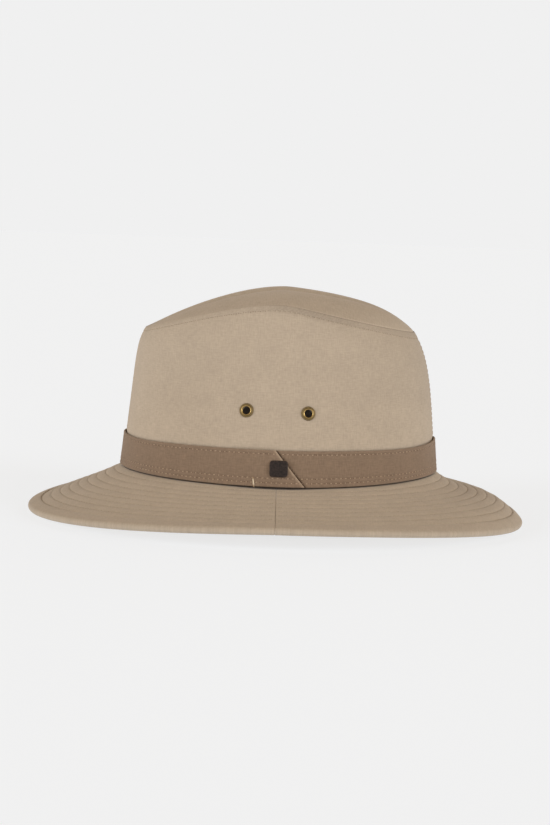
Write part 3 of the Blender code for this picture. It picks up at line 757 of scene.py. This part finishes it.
def brim_half(name, middle, side):
    """One half of the brim about its middle angle: top and lower faces on one grid, each carried round its
    part of the rolled edge, with the cloth folded down along both side seams."""
    lead = np.array(SIDE_STEPS) / FOOT.side
    inner_run = np.linspace(lead[-1], math.pi - lead[-1], BRIM_COLUMNS)
    theta = middle - math.pi / 2 + np.concatenate([lead[:-1], inner_run, math.pi - lead[-2::-1]])
    rows = quilt_places(theta)
    last = rows[:, -1:]
    near_rows = (rows[..., None] + np.array(ROW_STEPS)).reshape(len(theta), -1)
    between = (rows[:, 1:] + rows[:, :-1]) / 2
    pads = last + LAST_ROW * np.array(PAD_STEPS)[None]
    start = np.array([START_STEPS]) + 0 * last
    run = np.sort(np.concatenate([start, near_rows, between, pads], axis=1), axis=1)
    share = share_at(brim, theta, run)
    share[:, -1] = 1
    turn = np.broadcast_to(theta[:, None], share.shape)
    face = brim(turn, share)
    up = normals(brim, turn, share, outward=-1)
    half = brim_relief(turn, run, rows, last)
    half = half + SIDE_FOLD * (quarter_round(np.abs(face[..., 1]) / SIDE_FOLD) - 1)
    outward = unit(brim(theta, np.ones_like(theta)) - brim(theta, np.full_like(theta, 1 - EDGE_STEP)))
    tilt = np.radians(ROLL)[:, None]
    out_part = np.cos(tilt) * outward[:, None]
    up_part = np.sin(tilt) * up[:, -1:]
    top_roll = face[:, -1:] + half[:, -1:, None] * (out_part + up_part)
    low_roll = face[:, -1:] + half[:, -1:, None] * (out_part - up_part)
    mouth = np.concatenate([oval(theta, HEAD), around(theta, FOOT_HEIGHT)[:, None]], -1)[:, None]
    top = np.concatenate([mouth, face + up * half[..., None], top_roll], axis=1)
    low = np.concatenate([mouth - (0, 0, BRIM_CLOTH), face - up * half[..., None], low_roll], axis=1)
    top[[0, -1], :, 1] = side * SEAM_GAP / 2
    low[[0, -1], :, 1] = side * SEAM_GAP / 2
    ends = np.cos(theta[:, None]) ** 2
    edge_way = np.linalg.norm(top - top[:, -1:], axis=-1)
    off_wall = np.linalg.norm((top - top[:, :1])[..., :2], axis=-1) - CROWN_CLOTH
    # darker over the rolled edge
    painted_shade_light_and_wear = -bell(np.clip(edge_way - EDGE_DARKENING_START, 0, None), EDGE_DARKENING)
    # painted light beside the crown
    painted_shade_light_and_wear = painted_shade_light_and_wear + BRIM_PAINTED_LIGHT * np.clip(1 - off_wall / BRIM_PAINTED_LIGHT_WIDTH, 0, 1) * growing(BRIM_PAINTED_LIGHT_SHARE, ends)
    # painted shade in the trench beside the crown
    dark = growing(TRENCH_SHADE, bell(theta, LAP))[:, None]
    painted_shade_light_and_wear = painted_shade_light_and_wear - dark * np.clip((trench_reach(theta)[:, None] - off_wall) / TRENCH_SHADE_EDGE, 0, 1)
    # painted shade along the rows of stitches
    on_row = np.zeros_like(painted_shade_light_and_wear)
    on_row[:, 1:-len(ROLL)] = bell(row_distance(run, rows), ROW_SHADE_LINE)
    painted_shade_light_and_wear = painted_shade_light_and_wear - growing(ROW_SHADE, ends) * on_row
    # painted shade along the side seams
    painted_shade_light_and_wear = painted_shade_light_and_wear - bell(np.abs(top[..., 1]), SIDE_SEAM_SHADE) * (edge_way > SIDE_SEAM_END)
    piece = panel(name, top, low, top[..., :2], painted_shade_light_and_wear, outward=-1, whole=False)
    piece.data.materials.append(khaki_twill)
    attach(piece, "root")
    return piece


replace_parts(brim_half("brim_front_cloth", 0.0, -1), "brim_front")
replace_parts(brim_half("brim_back_cloth", math.pi, 1), "brim_back")

# Brim stitching: nine rows of lockstitch round each half, a quarter of an inch apart, in khaki cotton thread.
# The needle thread lies in its groove on top and the bobbin thread in the same place underneath.
BRIM_STITCH_LENGTH = STITCH_PITCH * 0.78
BRIM_THREAD = 0.00034
ROW_END = 0.009  # angle between a row's end and the side seam
ROW_POINTS = 900
for name, middle in (("brim_front_stitches", 0.0), ("brim_back_stitches", math.pi)):
    theta = middle + np.linspace(-math.pi / 2 + ROW_END, math.pi / 2 - ROW_END, ROW_POINTS)
    places = quilt_places(theta)
    rows = []
    for k in range(QUILT_ROWS):
        run = places[:, k : k + 1]
        share = share_at(brim, theta, run)[:, 0]
        up = normals(brim, theta, share, outward=-1)
        half = brim_relief(theta[:, None], run, places, places[:, -1:])
        for facing in (1, -1):
            rows.append(along_line(brim(theta, share) + facing * up * half, facing * up, STITCH_PITCH))
    thread = stitch_rows(name, rows, BRIM_STITCH_LENGTH, BRIM_THREAD)
    thread.data.materials.append(khaki_thread)

# Hat band: a strip of brown cotton twill, folded to 22 mm with its raw edges inside and stitched near both
# folds. It goes once round the foot of the crown, and its slanted end is lapped over its start on the
# wearer's left.
BAND_CLOTH = 0.0012
BAND_FOLD = BAND_CLOTH / 2
LAP_END_TOP = -0.0013
LAP_END_FOOT = 0.0171
UNDERLAP = 0.0170
LAP_RAMP = 0.0200
BAND_START = side_angle(LAP_END_TOP - UNDERLAP)

BAND_ROWS = (0.0025, 0.0053, BAND_HEIGHT - 0.0023)  # stitch rows, from the foot up
BAND_GROOVE = Bell(0.00026, 0, 0.00040)
BAND_SWELL = Bell(0.00010, 0.0014, 0.0008)  # beside each row
BAND_TIGHTNESS = Wave(0.4, 60, 900, 31)
BAND_WAVE = Wave(0.00010, 9, 160, 33)
BAND_SAG = 0.00026  # its foot settles towards the brim at the sides
LAP_DENT = Bell(0.00040, 0, 0.0008)  # the slanted end presses the strip under it down
END_RIM = 0.002  # the very end of the band is as thick as the root of this share

FOLD_PALE = Bell(0.15, 0, 0.0005)  # both folds are drawn paler
LAP_END_PALE = Bell(0.90, 0, 0.0011)  # and so is the slanted end
LAP_SHADE = Bell(0.9, 0.0004, 0.0007)  # painted shade on the strip along the slanted end
FOOT_SHADE = Growing(1.3, -1 / 0.00015)  # painted shade on the underside of the foot, gone 0.2 mm up

BAND_ROLL = np.radians([6, 24, 42, 60, 76])  # round each fold
BAND_ROW_STEPS = (-0.0007, -0.0003, 0, 0.0003, 0.0007)  # across a row of stitches
BAND_STEPS = (BAND_FOLD, 0.0012, 0.0039, 0.0068, *np.linspace(0.0085, 0.0200, 8), BAND_HEIGHT - 0.0012,
              BAND_HEIGHT - BAND_FOLD)  # heights between the rows
BAND_COLUMNS = 480
START_COLUMNS = 12
LAP_COLUMNS = 64  # more, where the slanted end lies on the strip
LAP_REACH = (0.0145, 0.0390)  # that part, from the strip's start
LAP_STEPS = (0, 0.00003, 0.0001, 0.0002, 0.00035, 0.0006, 0.0010, 0.0016)  # from the slanted end


def lap_end(height):
    """The angle at which the band ends at a height: the slant is straight in length and height."""
    along = LAP_END_FOOT + (LAP_END_TOP - LAP_END_FOOT) * height / BAND_HEIGHT
    half = np.where(along < 0, FOOT.front, FOOT.back)
    return 2.5 * math.pi + np.arcsin(along / half)


def band_stand(theta):
    """How far the band's inner face stands off the wall: a gap, and near the end a smooth climb on to its
    start."""
    ramp = LAP_RAMP / FOOT.front
    climb = np.clip((theta - 2 * math.pi - BAND_START + ramp) / ramp, 0, 1)
    return GAP + (BAND_CLOTH + GAP) * climb * climb * (3 - 2 * climb)


def on_band(theta, height, out):
    """A point of the band at a height over its foot and a distance out from its inner face, along the wall's
    normal, and that normal. Heights shrink in proportion where the upper edge dips, and the foot sags at the
    sides."""
    foot = around(theta, FOOT_HEIGHT)
    share = height / BAND_HEIGHT
    lift = band_top(theta) * share - BAND_SAG * np.sin(theta) ** 4 * (1 - share)
    share = (GAP + lift) / (seam_height(oval(theta, SEAM)[..., 1]) - foot)
    normal = normals(wall, theta, share)
    return wall(theta, share) + normal * (band_stand(theta) + out)[..., None], normal


def past_lap(theta, height):
    """Length from the slanted end on to a place of the strip that comes out from under it."""
    return (theta - lap_end(height) + 2 * math.pi) * FOOT.front


def band_relief(theta, height):
    """Rise of the band's outer face: a soft swell between stitch rows, a groove at each row, faint waves, and
    a dent as a bell where the slanted end presses on the strip."""
    nearest = np.min([np.abs(height - row) for row in BAND_ROWS], axis=0)
    groove = bell(nearest, BAND_GROOVE) * (1 + ripple(theta, height, BAND_TIGHTNESS))
    swell = bell(nearest, BAND_SWELL)
    return ripple(theta, height, BAND_WAVE) - groove + swell - bell(past_lap(theta, height), LAP_DENT)


low_height = BAND_FOLD * (1 - np.cos(BAND_ROLL))
flat = np.sort(np.concatenate([np.add.outer(BAND_ROWS, BAND_ROW_STEPS).ravel(), BAND_STEPS]))
height = np.concatenate([low_height, flat, BAND_HEIGHT - low_height[::-1]])
bulge = np.concatenate([np.sin(BAND_ROLL), np.ones(len(flat)), np.sin(BAND_ROLL)[::-1]])
ends = lap_end(height)
close = np.array(LAP_STEPS)[::-1] / FOOT.side
dense = np.array(LAP_REACH) / FOOT.front / (2 * math.pi)
shares = np.concatenate([
    np.linspace(0, dense[0], START_COLUMNS, endpoint=False),
    np.linspace(*dense, LAP_COLUMNS, endpoint=False),
    np.linspace(dense[1], 1, BAND_COLUMNS),
])
strip = shares[:, None] * (ends - close[0] - BAND_START)[None] + BAND_START
theta = np.concatenate([strip, ends[None] - close[1:, None]])
tall = np.broadcast_to(height, theta.shape)
from_end = (ends[None] - theta) * FOOT.side
round_end = quarter_round(from_end / BAND_FOLD, END_RIM)
relief = band_relief(theta, tall) * (bulge == 1) * (from_end >= BAND_FOLD)
outer, _ = on_band(theta, tall, BAND_FOLD * (1 + bulge * round_end) + relief)
inner, _ = on_band(theta, tall, BAND_FOLD * (1 - bulge * round_end))
# the folds and the slanted end are drawn paler
painted_shade_light_and_wear = np.maximum(bell(np.minimum(tall, BAND_HEIGHT - tall), FOLD_PALE), bell(from_end, LAP_END_PALE))
# painted shade under the foot and along the slanted end
painted_shade_light_and_wear = painted_shade_light_and_wear - np.clip(growing(FOOT_SHADE, tall), 0, 1) - bell(past_lap(theta, tall), LAP_SHADE)
uv = np.stack([theta * (FOOT.side + FOOT.front) / 2, tall], -1)
hat_band = panel("hat_band_cloth", outer, inner, uv, painted_shade_light_and_wear, whole=False)
# the band's last two colours are a paler tint and the dark colour of painted shade
brown_twill = cotton_twill("brown cotton twill", "#836F5D", "#AD9983", "#2A1A13", 0.140)
hat_band.data.materials.append(brown_twill)
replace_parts(hat_band, "hat_band")
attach(hat_band, "root")

# Band stitching: one row under the upper fold and two over the lower one, in a tan cotton thread that is
# lighter than the band. A short bar of close stitches tacks the band to the crown ahead of the patch.
BAND_THREAD = 0.00050
ROW_END_CLEAR = 0.0012  # between a row and the slanted end
BAND_POINTS = 1500
TACK_PLACE = Place(-0.0141, 0.0028)  # its height is over the band's foot
TACK_LENGTH = 0.0072
TACK_THREAD = 0.00060
TACK_STAND = 0.00135  # over the band's inner face
TACK_STEPS = (0, 0.0004)  # its two threads lie this far apart
TACK_RISE = np.array([0, 0.0001])  # a second height gives the thread its direction
rows = []
for height in BAND_ROWS:
    row_end = float(lap_end(height)) - ROW_END_CLEAR / FOOT.side
    theta = np.linspace(BAND_START + UNDERLAP / FOOT.front, row_end, BAND_POINTS)
    tall = np.full(BAND_POINTS, height)
    points, out = on_band(theta, tall, BAND_CLOTH + band_relief(theta, tall))
    rows.append(along_line(points, out, STITCH_PITCH))
band_thread = stitch_rows("hat_band_stitches", rows, STITCH_LENGTH, BAND_THREAD)
# the second colour is the painted shade in the needle holes
tan_thread = cotton_thread("tan cotton thread", "#B19B83", "#54382A")
band_thread.data.materials.append(tan_thread)
angle = side_angle(TACK_PLACE.along) + 2 * math.pi
rows = []
for step in TACK_STEPS:
    height = TACK_PLACE.height + TACK_RISE - step
    points, out = on_band(np.full(2, angle + step / FOOT.front), height, TACK_STAND)
    rows.append((points[:1], unit(points[1:] - points[:1]), out[:1]))
tack = stitch_rows("hat_band_tack", rows, TACK_LENGTH, TACK_THREAD)
# the second colour is the painted shade in the needle holes
tack.data.materials.append(cotton_thread("cream cotton thread", "#DCCDB4", "#9A8064"))

# Patch: a small bare plate of dark brown moulded leather. Its corners are rounded and its edges skived and
# pressed down, and it is fixed flat on the lap just ahead of the slanted end.
PATCH_LENGTH = 0.0113
PATCH_HEIGHT = 0.0103
PATCH_THICK = 0.0010
PATCH_PLACE = Place(0.0010, 0.0408)
PATCH_POWER = 6.0  # of the outline: the higher, the squarer
PATCH_SHOULDER = 0.90  # share from the middle at which the edge begins to turn down
PATCH_EDGE = Growing(0.35, 0.65)  # share of its thickness, from its rim to its shoulder
PATCH_RIM = 0.04  # and its rim keeps the root of this share of that
PATCH_DOME = 0.00006
PATCH_SINK = 0.0001  # the underside lies this far over the lap's cloth
PATCH_STEPS = np.array([0, 0.2, 0.4, 0.6, 0.75, 0.85, PATCH_SHOULDER, 0.94, 0.97, 0.99, 1.0])
PATCH_COLUMNS = 96
spoke = full_turn(PATCH_COLUMNS)
reach = np.abs(np.cos(spoke)) ** PATCH_POWER + np.abs(np.sin(spoke)) ** PATCH_POWER
reach = reach ** (-1 / PATCH_POWER)
a = (reach * np.cos(spoke))[:, None] * PATCH_STEPS * PATCH_LENGTH / 2
b = (reach * np.sin(spoke))[:, None] * PATCH_STEPS * PATCH_HEIGHT / 2
centre, along, up, ahead = place_on_wall(PATCH_PLACE)
lap_face = 2 * (GAP + BAND_CLOTH)
edge_round = quarter_round((1 - PATCH_STEPS) / (1 - PATCH_SHOULDER), PATCH_RIM)
rise = lap_face + GAP + PATCH_THICK * growing(PATCH_EDGE, edge_round) + PATCH_DOME * (1 - PATCH_STEPS**2)
flat_points = centre + a[..., None] * along + b[..., None] * up
outer = flat_points + rise[:, None] * ahead
inner = flat_points + (lap_face + PATCH_SINK) * ahead
uv = np.stack([np.concatenate([a, a[:1]]), np.concatenate([b, b[:1]])], -1)
painted_shade_light_and_wear = np.broadcast_to((PATCH_STEPS > PATCH_SHOULDER) * 1.0, a.shape)
band_patch = panel("band_patch_leather", outer, inner, uv, painted_shade_light_and_wear, outward=-1, pole=True)


def moulded_leather(name, colour, edge):
    """Split leather, dyed right through and pressed in a warm mould: near black brown, satin, with a fine
    pebble grain and edges that are rubbed a little lighter. The grain, 0.3 mm across, is drawn twice as
    coarse to show."""
    made, tree, output = empty_material(name)
    place = node(tree, "ShaderNodeUVMap", uv_map="cloth").outputs["UV"]
    pebble = node(tree, "ShaderNodeTexVoronoi", {"Vector": place, "Scale": 1500.0}, voronoi_dimensions="2D")
    cloud = node(tree, "ShaderNodeTexNoise", {"Vector": place, "Scale": 800.0, "Detail": 3.0},
                 noise_dimensions="2D")
    surface_mark = node(tree, "ShaderNodeAttribute", attribute_name="painted_shade_light_and_wear").outputs["Fac"]
    tint = node(tree, "ShaderNodeMix", {"Factor": surface_mark, 6: linear(colour), 7: linear(edge)},
                data_type="RGBA")
    light = node(tree, "ShaderNodeMapRange", {"Value": cloud.outputs[0], 1: 0.3, 2: 0.7, 3: 0.55, 4: 1.5})
    tone = node(tree, "ShaderNodeVectorMath", {0: tint.outputs[2], 3: light.outputs[0]}, operation="SCALE")
    gloss = node(tree, "ShaderNodeMapRange", {"Value": cloud.outputs[0], 1: 0.3, 2: 0.7, 3: 0.50, 4: 0.68})
    relief = node(tree, "ShaderNodeBump", {"Height": pebble.outputs["Distance"], "Strength": 0.4,
                  "Distance": 0.00008})
    shader = node(tree, "ShaderNodeBsdfPrincipled", {"Base Color": tone.outputs[0],
                  "Normal": relief.outputs[0], "Roughness": gloss.outputs[0], "Specular IOR Level": 0.22,
                  "IOR": 1.5})
    tree.links.new(shader.outputs[0], output.inputs[0])
    return made


band_patch.data.materials.append(moulded_leather("dark moulded leather", "#2B2320", "#3C322D"))
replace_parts(band_patch, "band_patch")
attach(band_patch, "root")

# Eyelets: two-part vents of thin brass, rolled over and clenched through the crown with a washer inside. The
# finish is an antique dark patina that is polished off the high part of the roll.
EYELET_BORE = 0.0024  # radius
EYELET_ROLL = 0.0034  # outer radius of the roll, which starts at the bore
ROLL_RISE = Growing(0.00045, 0.00055)  # of the roll over the cloth
ROLL_TURN = np.radians(np.linspace(180, 12, 15))
EYELET_BARREL = 0.0029
WASHER = 0.0042
EYELET_TURNS = 64
POLISH = Bell(1, 0.0027, 0.00035)  # of the metal, by the radius
POLISH_HEIGHT = 0.0006  # over the cloth, where it starts
Turned = namedtuple("Turned", "radius height")  # a place of a turned section, with heights over the cloth
middle = (EYELET_ROLL + EYELET_BORE) / 2
half = (EYELET_ROLL - EYELET_BORE) / 2
roll = [Turned(middle + half * math.cos(t), growing(ROLL_RISE, math.sin(t))) for t in ROLL_TURN]
dish = [
    Turned(0.00350, 0.00050), Turned(0.00370, 0.00047), Turned(0.00395, 0.00050), Turned(0.00415, 0.00052),
    Turned(0.00430, 0.00046), Turned(0.00438, 0.00034), Turned(EYELET_FLANGE, 0.00018),
    Turned(0.00434, 0.00006), Turned(EYELET_BARREL, 0.00004),
]
clench = [  # heights under the cloth's inner face
    Turned(EYELET_BARREL, 0.00006), Turned(0.00410, 0.00008), Turned(WASHER, 0.00020),
    Turned(WASHER, 0.00045), Turned(0.00408, 0.00060), Turned(0.00330, 0.00066), Turned(0.00270, 0.00072),
    Turned(0.00248, 0.00060), Turned(EYELET_BORE, 0.00040),
]
profile = np.array(roll + dish + [Turned(at.radius, -CROWN_CLOTH - at.height) for at in clench])


def turned(name, profile, centre, along, up, ahead):
    """A closed section, as radii and heights, turned once about an axis: cosine along, sine up, height
    ahead."""
    spoke = full_turn(EYELET_TURNS)[:, None, None]
    radius, height = profile[None, :, :1], profile[None, :, 1:]
    points = centre + radius * (np.cos(spoke) * along + np.sin(spoke) * up) + height * ahead
    count = len(profile)
    index = np.arange(EYELET_TURNS * count).reshape(EYELET_TURNS, count)
    far = np.roll(index, -1, axis=0)
    faces = np.stack([index, np.roll(index, -1, axis=1), np.roll(far, -1, axis=1), far], -1).reshape(-1, 4)
    bright = np.tile(bell(profile[:, 0], POLISH) * (profile[:, 1] > POLISH_HEIGHT), EYELET_TURNS)
    return mesh_object(name, points.reshape(-1, 3), faces, np.zeros((len(faces), 4, 2)), {"painted_shade_light_and_wear": bright})


def antique_brass(name, patina, polished):
    """Stamped brass with an antique finish: an olive brown patina left in the hollows, with yellow metal
    where the tumbling has polished the high part of the roll."""
    made, tree, output = empty_material(name)
    place = node(tree, "ShaderNodeTexCoord").outputs["Object"]
    cloud = node(tree, "ShaderNodeTexNoise", {"Vector": place, "Scale": 1400.0, "Detail": 3.0})
    surface_mark = node(tree, "ShaderNodeAttribute", attribute_name="painted_shade_light_and_wear").outputs["Fac"]
    spread = node(tree, "ShaderNodeMapRange", {"Value": cloud.outputs[0], 1: 0.3, 2: 0.7, 3: 0.7, 4: 1.15})
    polish = node(tree, "ShaderNodeMath", {0: surface_mark, 1: spread.outputs[0]}, operation="MULTIPLY",
                  use_clamp=True)
    tint = node(tree, "ShaderNodeMix", {"Factor": polish.outputs[0], 6: linear(patina), 7: linear(polished)},
                data_type="RGBA")
    gloss = node(tree, "ShaderNodeMapRange", {"Value": polish.outputs[0], 1: 0.0, 2: 1.0, 3: 0.48, 4: 0.26})
    relief = node(tree, "ShaderNodeBump", {"Height": cloud.outputs[0], "Strength": 0.15,
                  "Distance": 0.0001})
    shader = node(tree, "ShaderNodeBsdfPrincipled", {"Base Color": tint.outputs[2],
                  "Normal": relief.outputs[0], "Metallic": 1.0, "Roughness": gloss.outputs[0]})
    tree.links.new(shader.outputs[0], output.inputs[0])
    return made


brass = antique_brass("antique brass", "#7C6B4C", "#C4A56A")
for flank, mirrored in (("left", False), ("right", True)):
    for end, place in EYELETS.items():
        eyelet = turned(f"eyelet_{flank}_{end}_ring", profile, *place_on_wall(place, mirrored))
        eyelet.data.materials.append(brass)
        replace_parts(eyelet, f"eyelet_{flank}_{end}")
        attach(eyelet, "root")

# Floor: a pale, softly lit table that glows a little, as a light box does, so the hat's shadow stays faint
# and the table runs into the background without a line. The glow ends under the crown, which covers its
# inner edge.
FLOOR_REACH = 12.0
FLOOR_SIDES = 96
FLOOR_GLOW = 0.707
UNLIT_OVAL = Around(0.098, 0.070, 0.098)  # half-lengths of the part under the crown, with its soft edge
spoke = full_turn(FLOOR_SIDES)
circle = np.stack([FLOOR_REACH * np.cos(spoke), FLOOR_REACH * np.sin(spoke), 0 * spoke], -1)
table = bpy.data.meshes.new("table")
table.from_pydata(circle.tolist(), [], [list(range(FLOOR_SIDES))])
floor = bpy.data.objects.new("table", table)
bpy.context.scene.collection.objects.link(floor)
made, tree, output = empty_material("pale acrylic light table")
place = node(tree, "ShaderNodeTexCoord").outputs["Object"]
shares = node(tree, "ShaderNodeMapping", {"Vector": place,
              "Scale": (1 / UNLIT_OVAL.side, 1 / UNLIT_OVAL.front, 0)})
reach = node(tree, "ShaderNodeVectorMath", {0: shares.outputs[0]}, operation="LENGTH").outputs["Value"]
lit = node(tree, "ShaderNodeMapRange", {"Value": reach, 1: 0.75, 2: 1.0, 3: 0.0, 4: FLOOR_GLOW},
           interpolation_type="SMOOTHSTEP")
glow = node(tree, "ShaderNodeEmission", {"Color": linear("#FFFFFF"), "Strength": lit.outputs[0]})
matt = node(tree, "ShaderNodeBsdfDiffuse", {"Color": linear("#8A929D")})
mixed = node(tree, "ShaderNodeAddShader", {0: glow.outputs[0], 1: matt.outputs[0]})
tree.links.new(mixed.outputs[0], output.inputs[0])
table.materials.append(made)

# Light: pale walls all round at the horizon, a ring of soft boxes over them, a dark ceiling, and two broad
# lamps of nearly the same strength, low on either side of the camera.
SURROUND_STRENGTH = 1.31
SURROUND = ((0.20, "#D5D5D5"), (0.40, "#D8D4CE"), (0.55, "#D6C2A6"), (0.72, "#B89E7C"),
            (0.85, "#302820"))  # colour at each sine of the angle over the horizon
LAMPS = (("soft lamp towards the front", -60, 1.05), ("soft lamp towards the back", 60, 1.07))
LAMP_ELEVATION = math.radians(14)
LAMP_BREADTH = math.radians(24)
world = bpy.data.worlds.new("studio surround")
bpy.context.scene.world = world
world.use_nodes = True
tree = world.node_tree
tree.nodes.clear()
direction = node(tree, "ShaderNodeTexCoord").outputs["Generated"]
level = node(tree, "ShaderNodeSeparateXYZ", {0: direction}).outputs["Z"]
ramp = node(tree, "ShaderNodeValToRGB", {0: level})
while len(ramp.color_ramp.elements) < len(SURROUND):
    ramp.color_ramp.elements.new(0.5)
for element, (at, colour) in zip(ramp.color_ramp.elements, SURROUND):
    element.position = at
    element.color = linear(colour)
sky = node(tree, "ShaderNodeBackground", {"Color": ramp.outputs[0], "Strength": SURROUND_STRENGTH})
tree.links.new(sky.outputs[0], node(tree, "ShaderNodeOutputWorld").inputs[0])


def turned_to(right, up, back):
    """A rotation whose columns are the object's own three axes."""
    return Matrix([[float(v) for v in row] for row in np.stack([right, up, back], -1)])


for name, azimuth, energy in LAMPS:
    lamp = bpy.data.lights.new(name, "SUN")
    lamp.energy = energy
    lamp.angle = LAMP_BREADTH
    lamp.color = linear("#FFFEFC")[:3]
    lamp_object = bpy.data.objects.new(name, lamp)
    bpy.context.scene.collection.objects.link(lamp_object)
    level_way = np.array([math.cos(math.radians(azimuth)), math.sin(math.radians(azimuth)), 0])
    to_lamp = level_way * math.cos(LAMP_ELEVATION) + np.array([0, 0, math.sin(LAMP_ELEVATION)])
    side_way = unit(np.cross((0, 0, 1), to_lamp))
    lamp_object.rotation_euler = turned_to(side_way, np.cross(to_lamp, side_way), to_lamp).to_euler()

# Camera: abeam of the wearer's left side, a little over brim height and rolled by two degrees, at the
# distance and lens that give the hat its size in the picture.
PICTURE_HEIGHT = 825
PIXELS_PER_METRE = 1524
SENSOR = 36  # millimetres
TARGET = np.array([0, -0.0025, 0.0672])
DISTANCE = 1.3
ELEVATION = math.radians(5.83)
CAMERA_ROLL = math.radians(2.09)
forward = np.array([-math.cos(ELEVATION), 0, -math.sin(ELEVATION)])
right = np.array([0, 1.0, 0])
up = np.cross(right, forward)
camera = bpy.data.cameras.new("camera")
camera.sensor_fit = "VERTICAL"
camera.sensor_height = SENSOR
camera.sensor_width = SENSOR
camera.lens = SENSOR * DISTANCE / (PICTURE_HEIGHT / PIXELS_PER_METRE)
camera_object = bpy.data.objects.new("camera", camera)
bpy.context.scene.collection.objects.link(camera_object)
camera_object.location = TARGET - forward * DISTANCE
level_right = right * math.cos(CAMERA_ROLL) + up * math.sin(CAMERA_ROLL)
level_up = up * math.cos(CAMERA_ROLL) - right * math.sin(CAMERA_ROLL)
camera_object.rotation_euler = turned_to(level_right, level_up, -forward).to_euler()
bpy.context.scene.camera = camera_object
bpy.context.scene.view_settings.view_transform = "Standard"
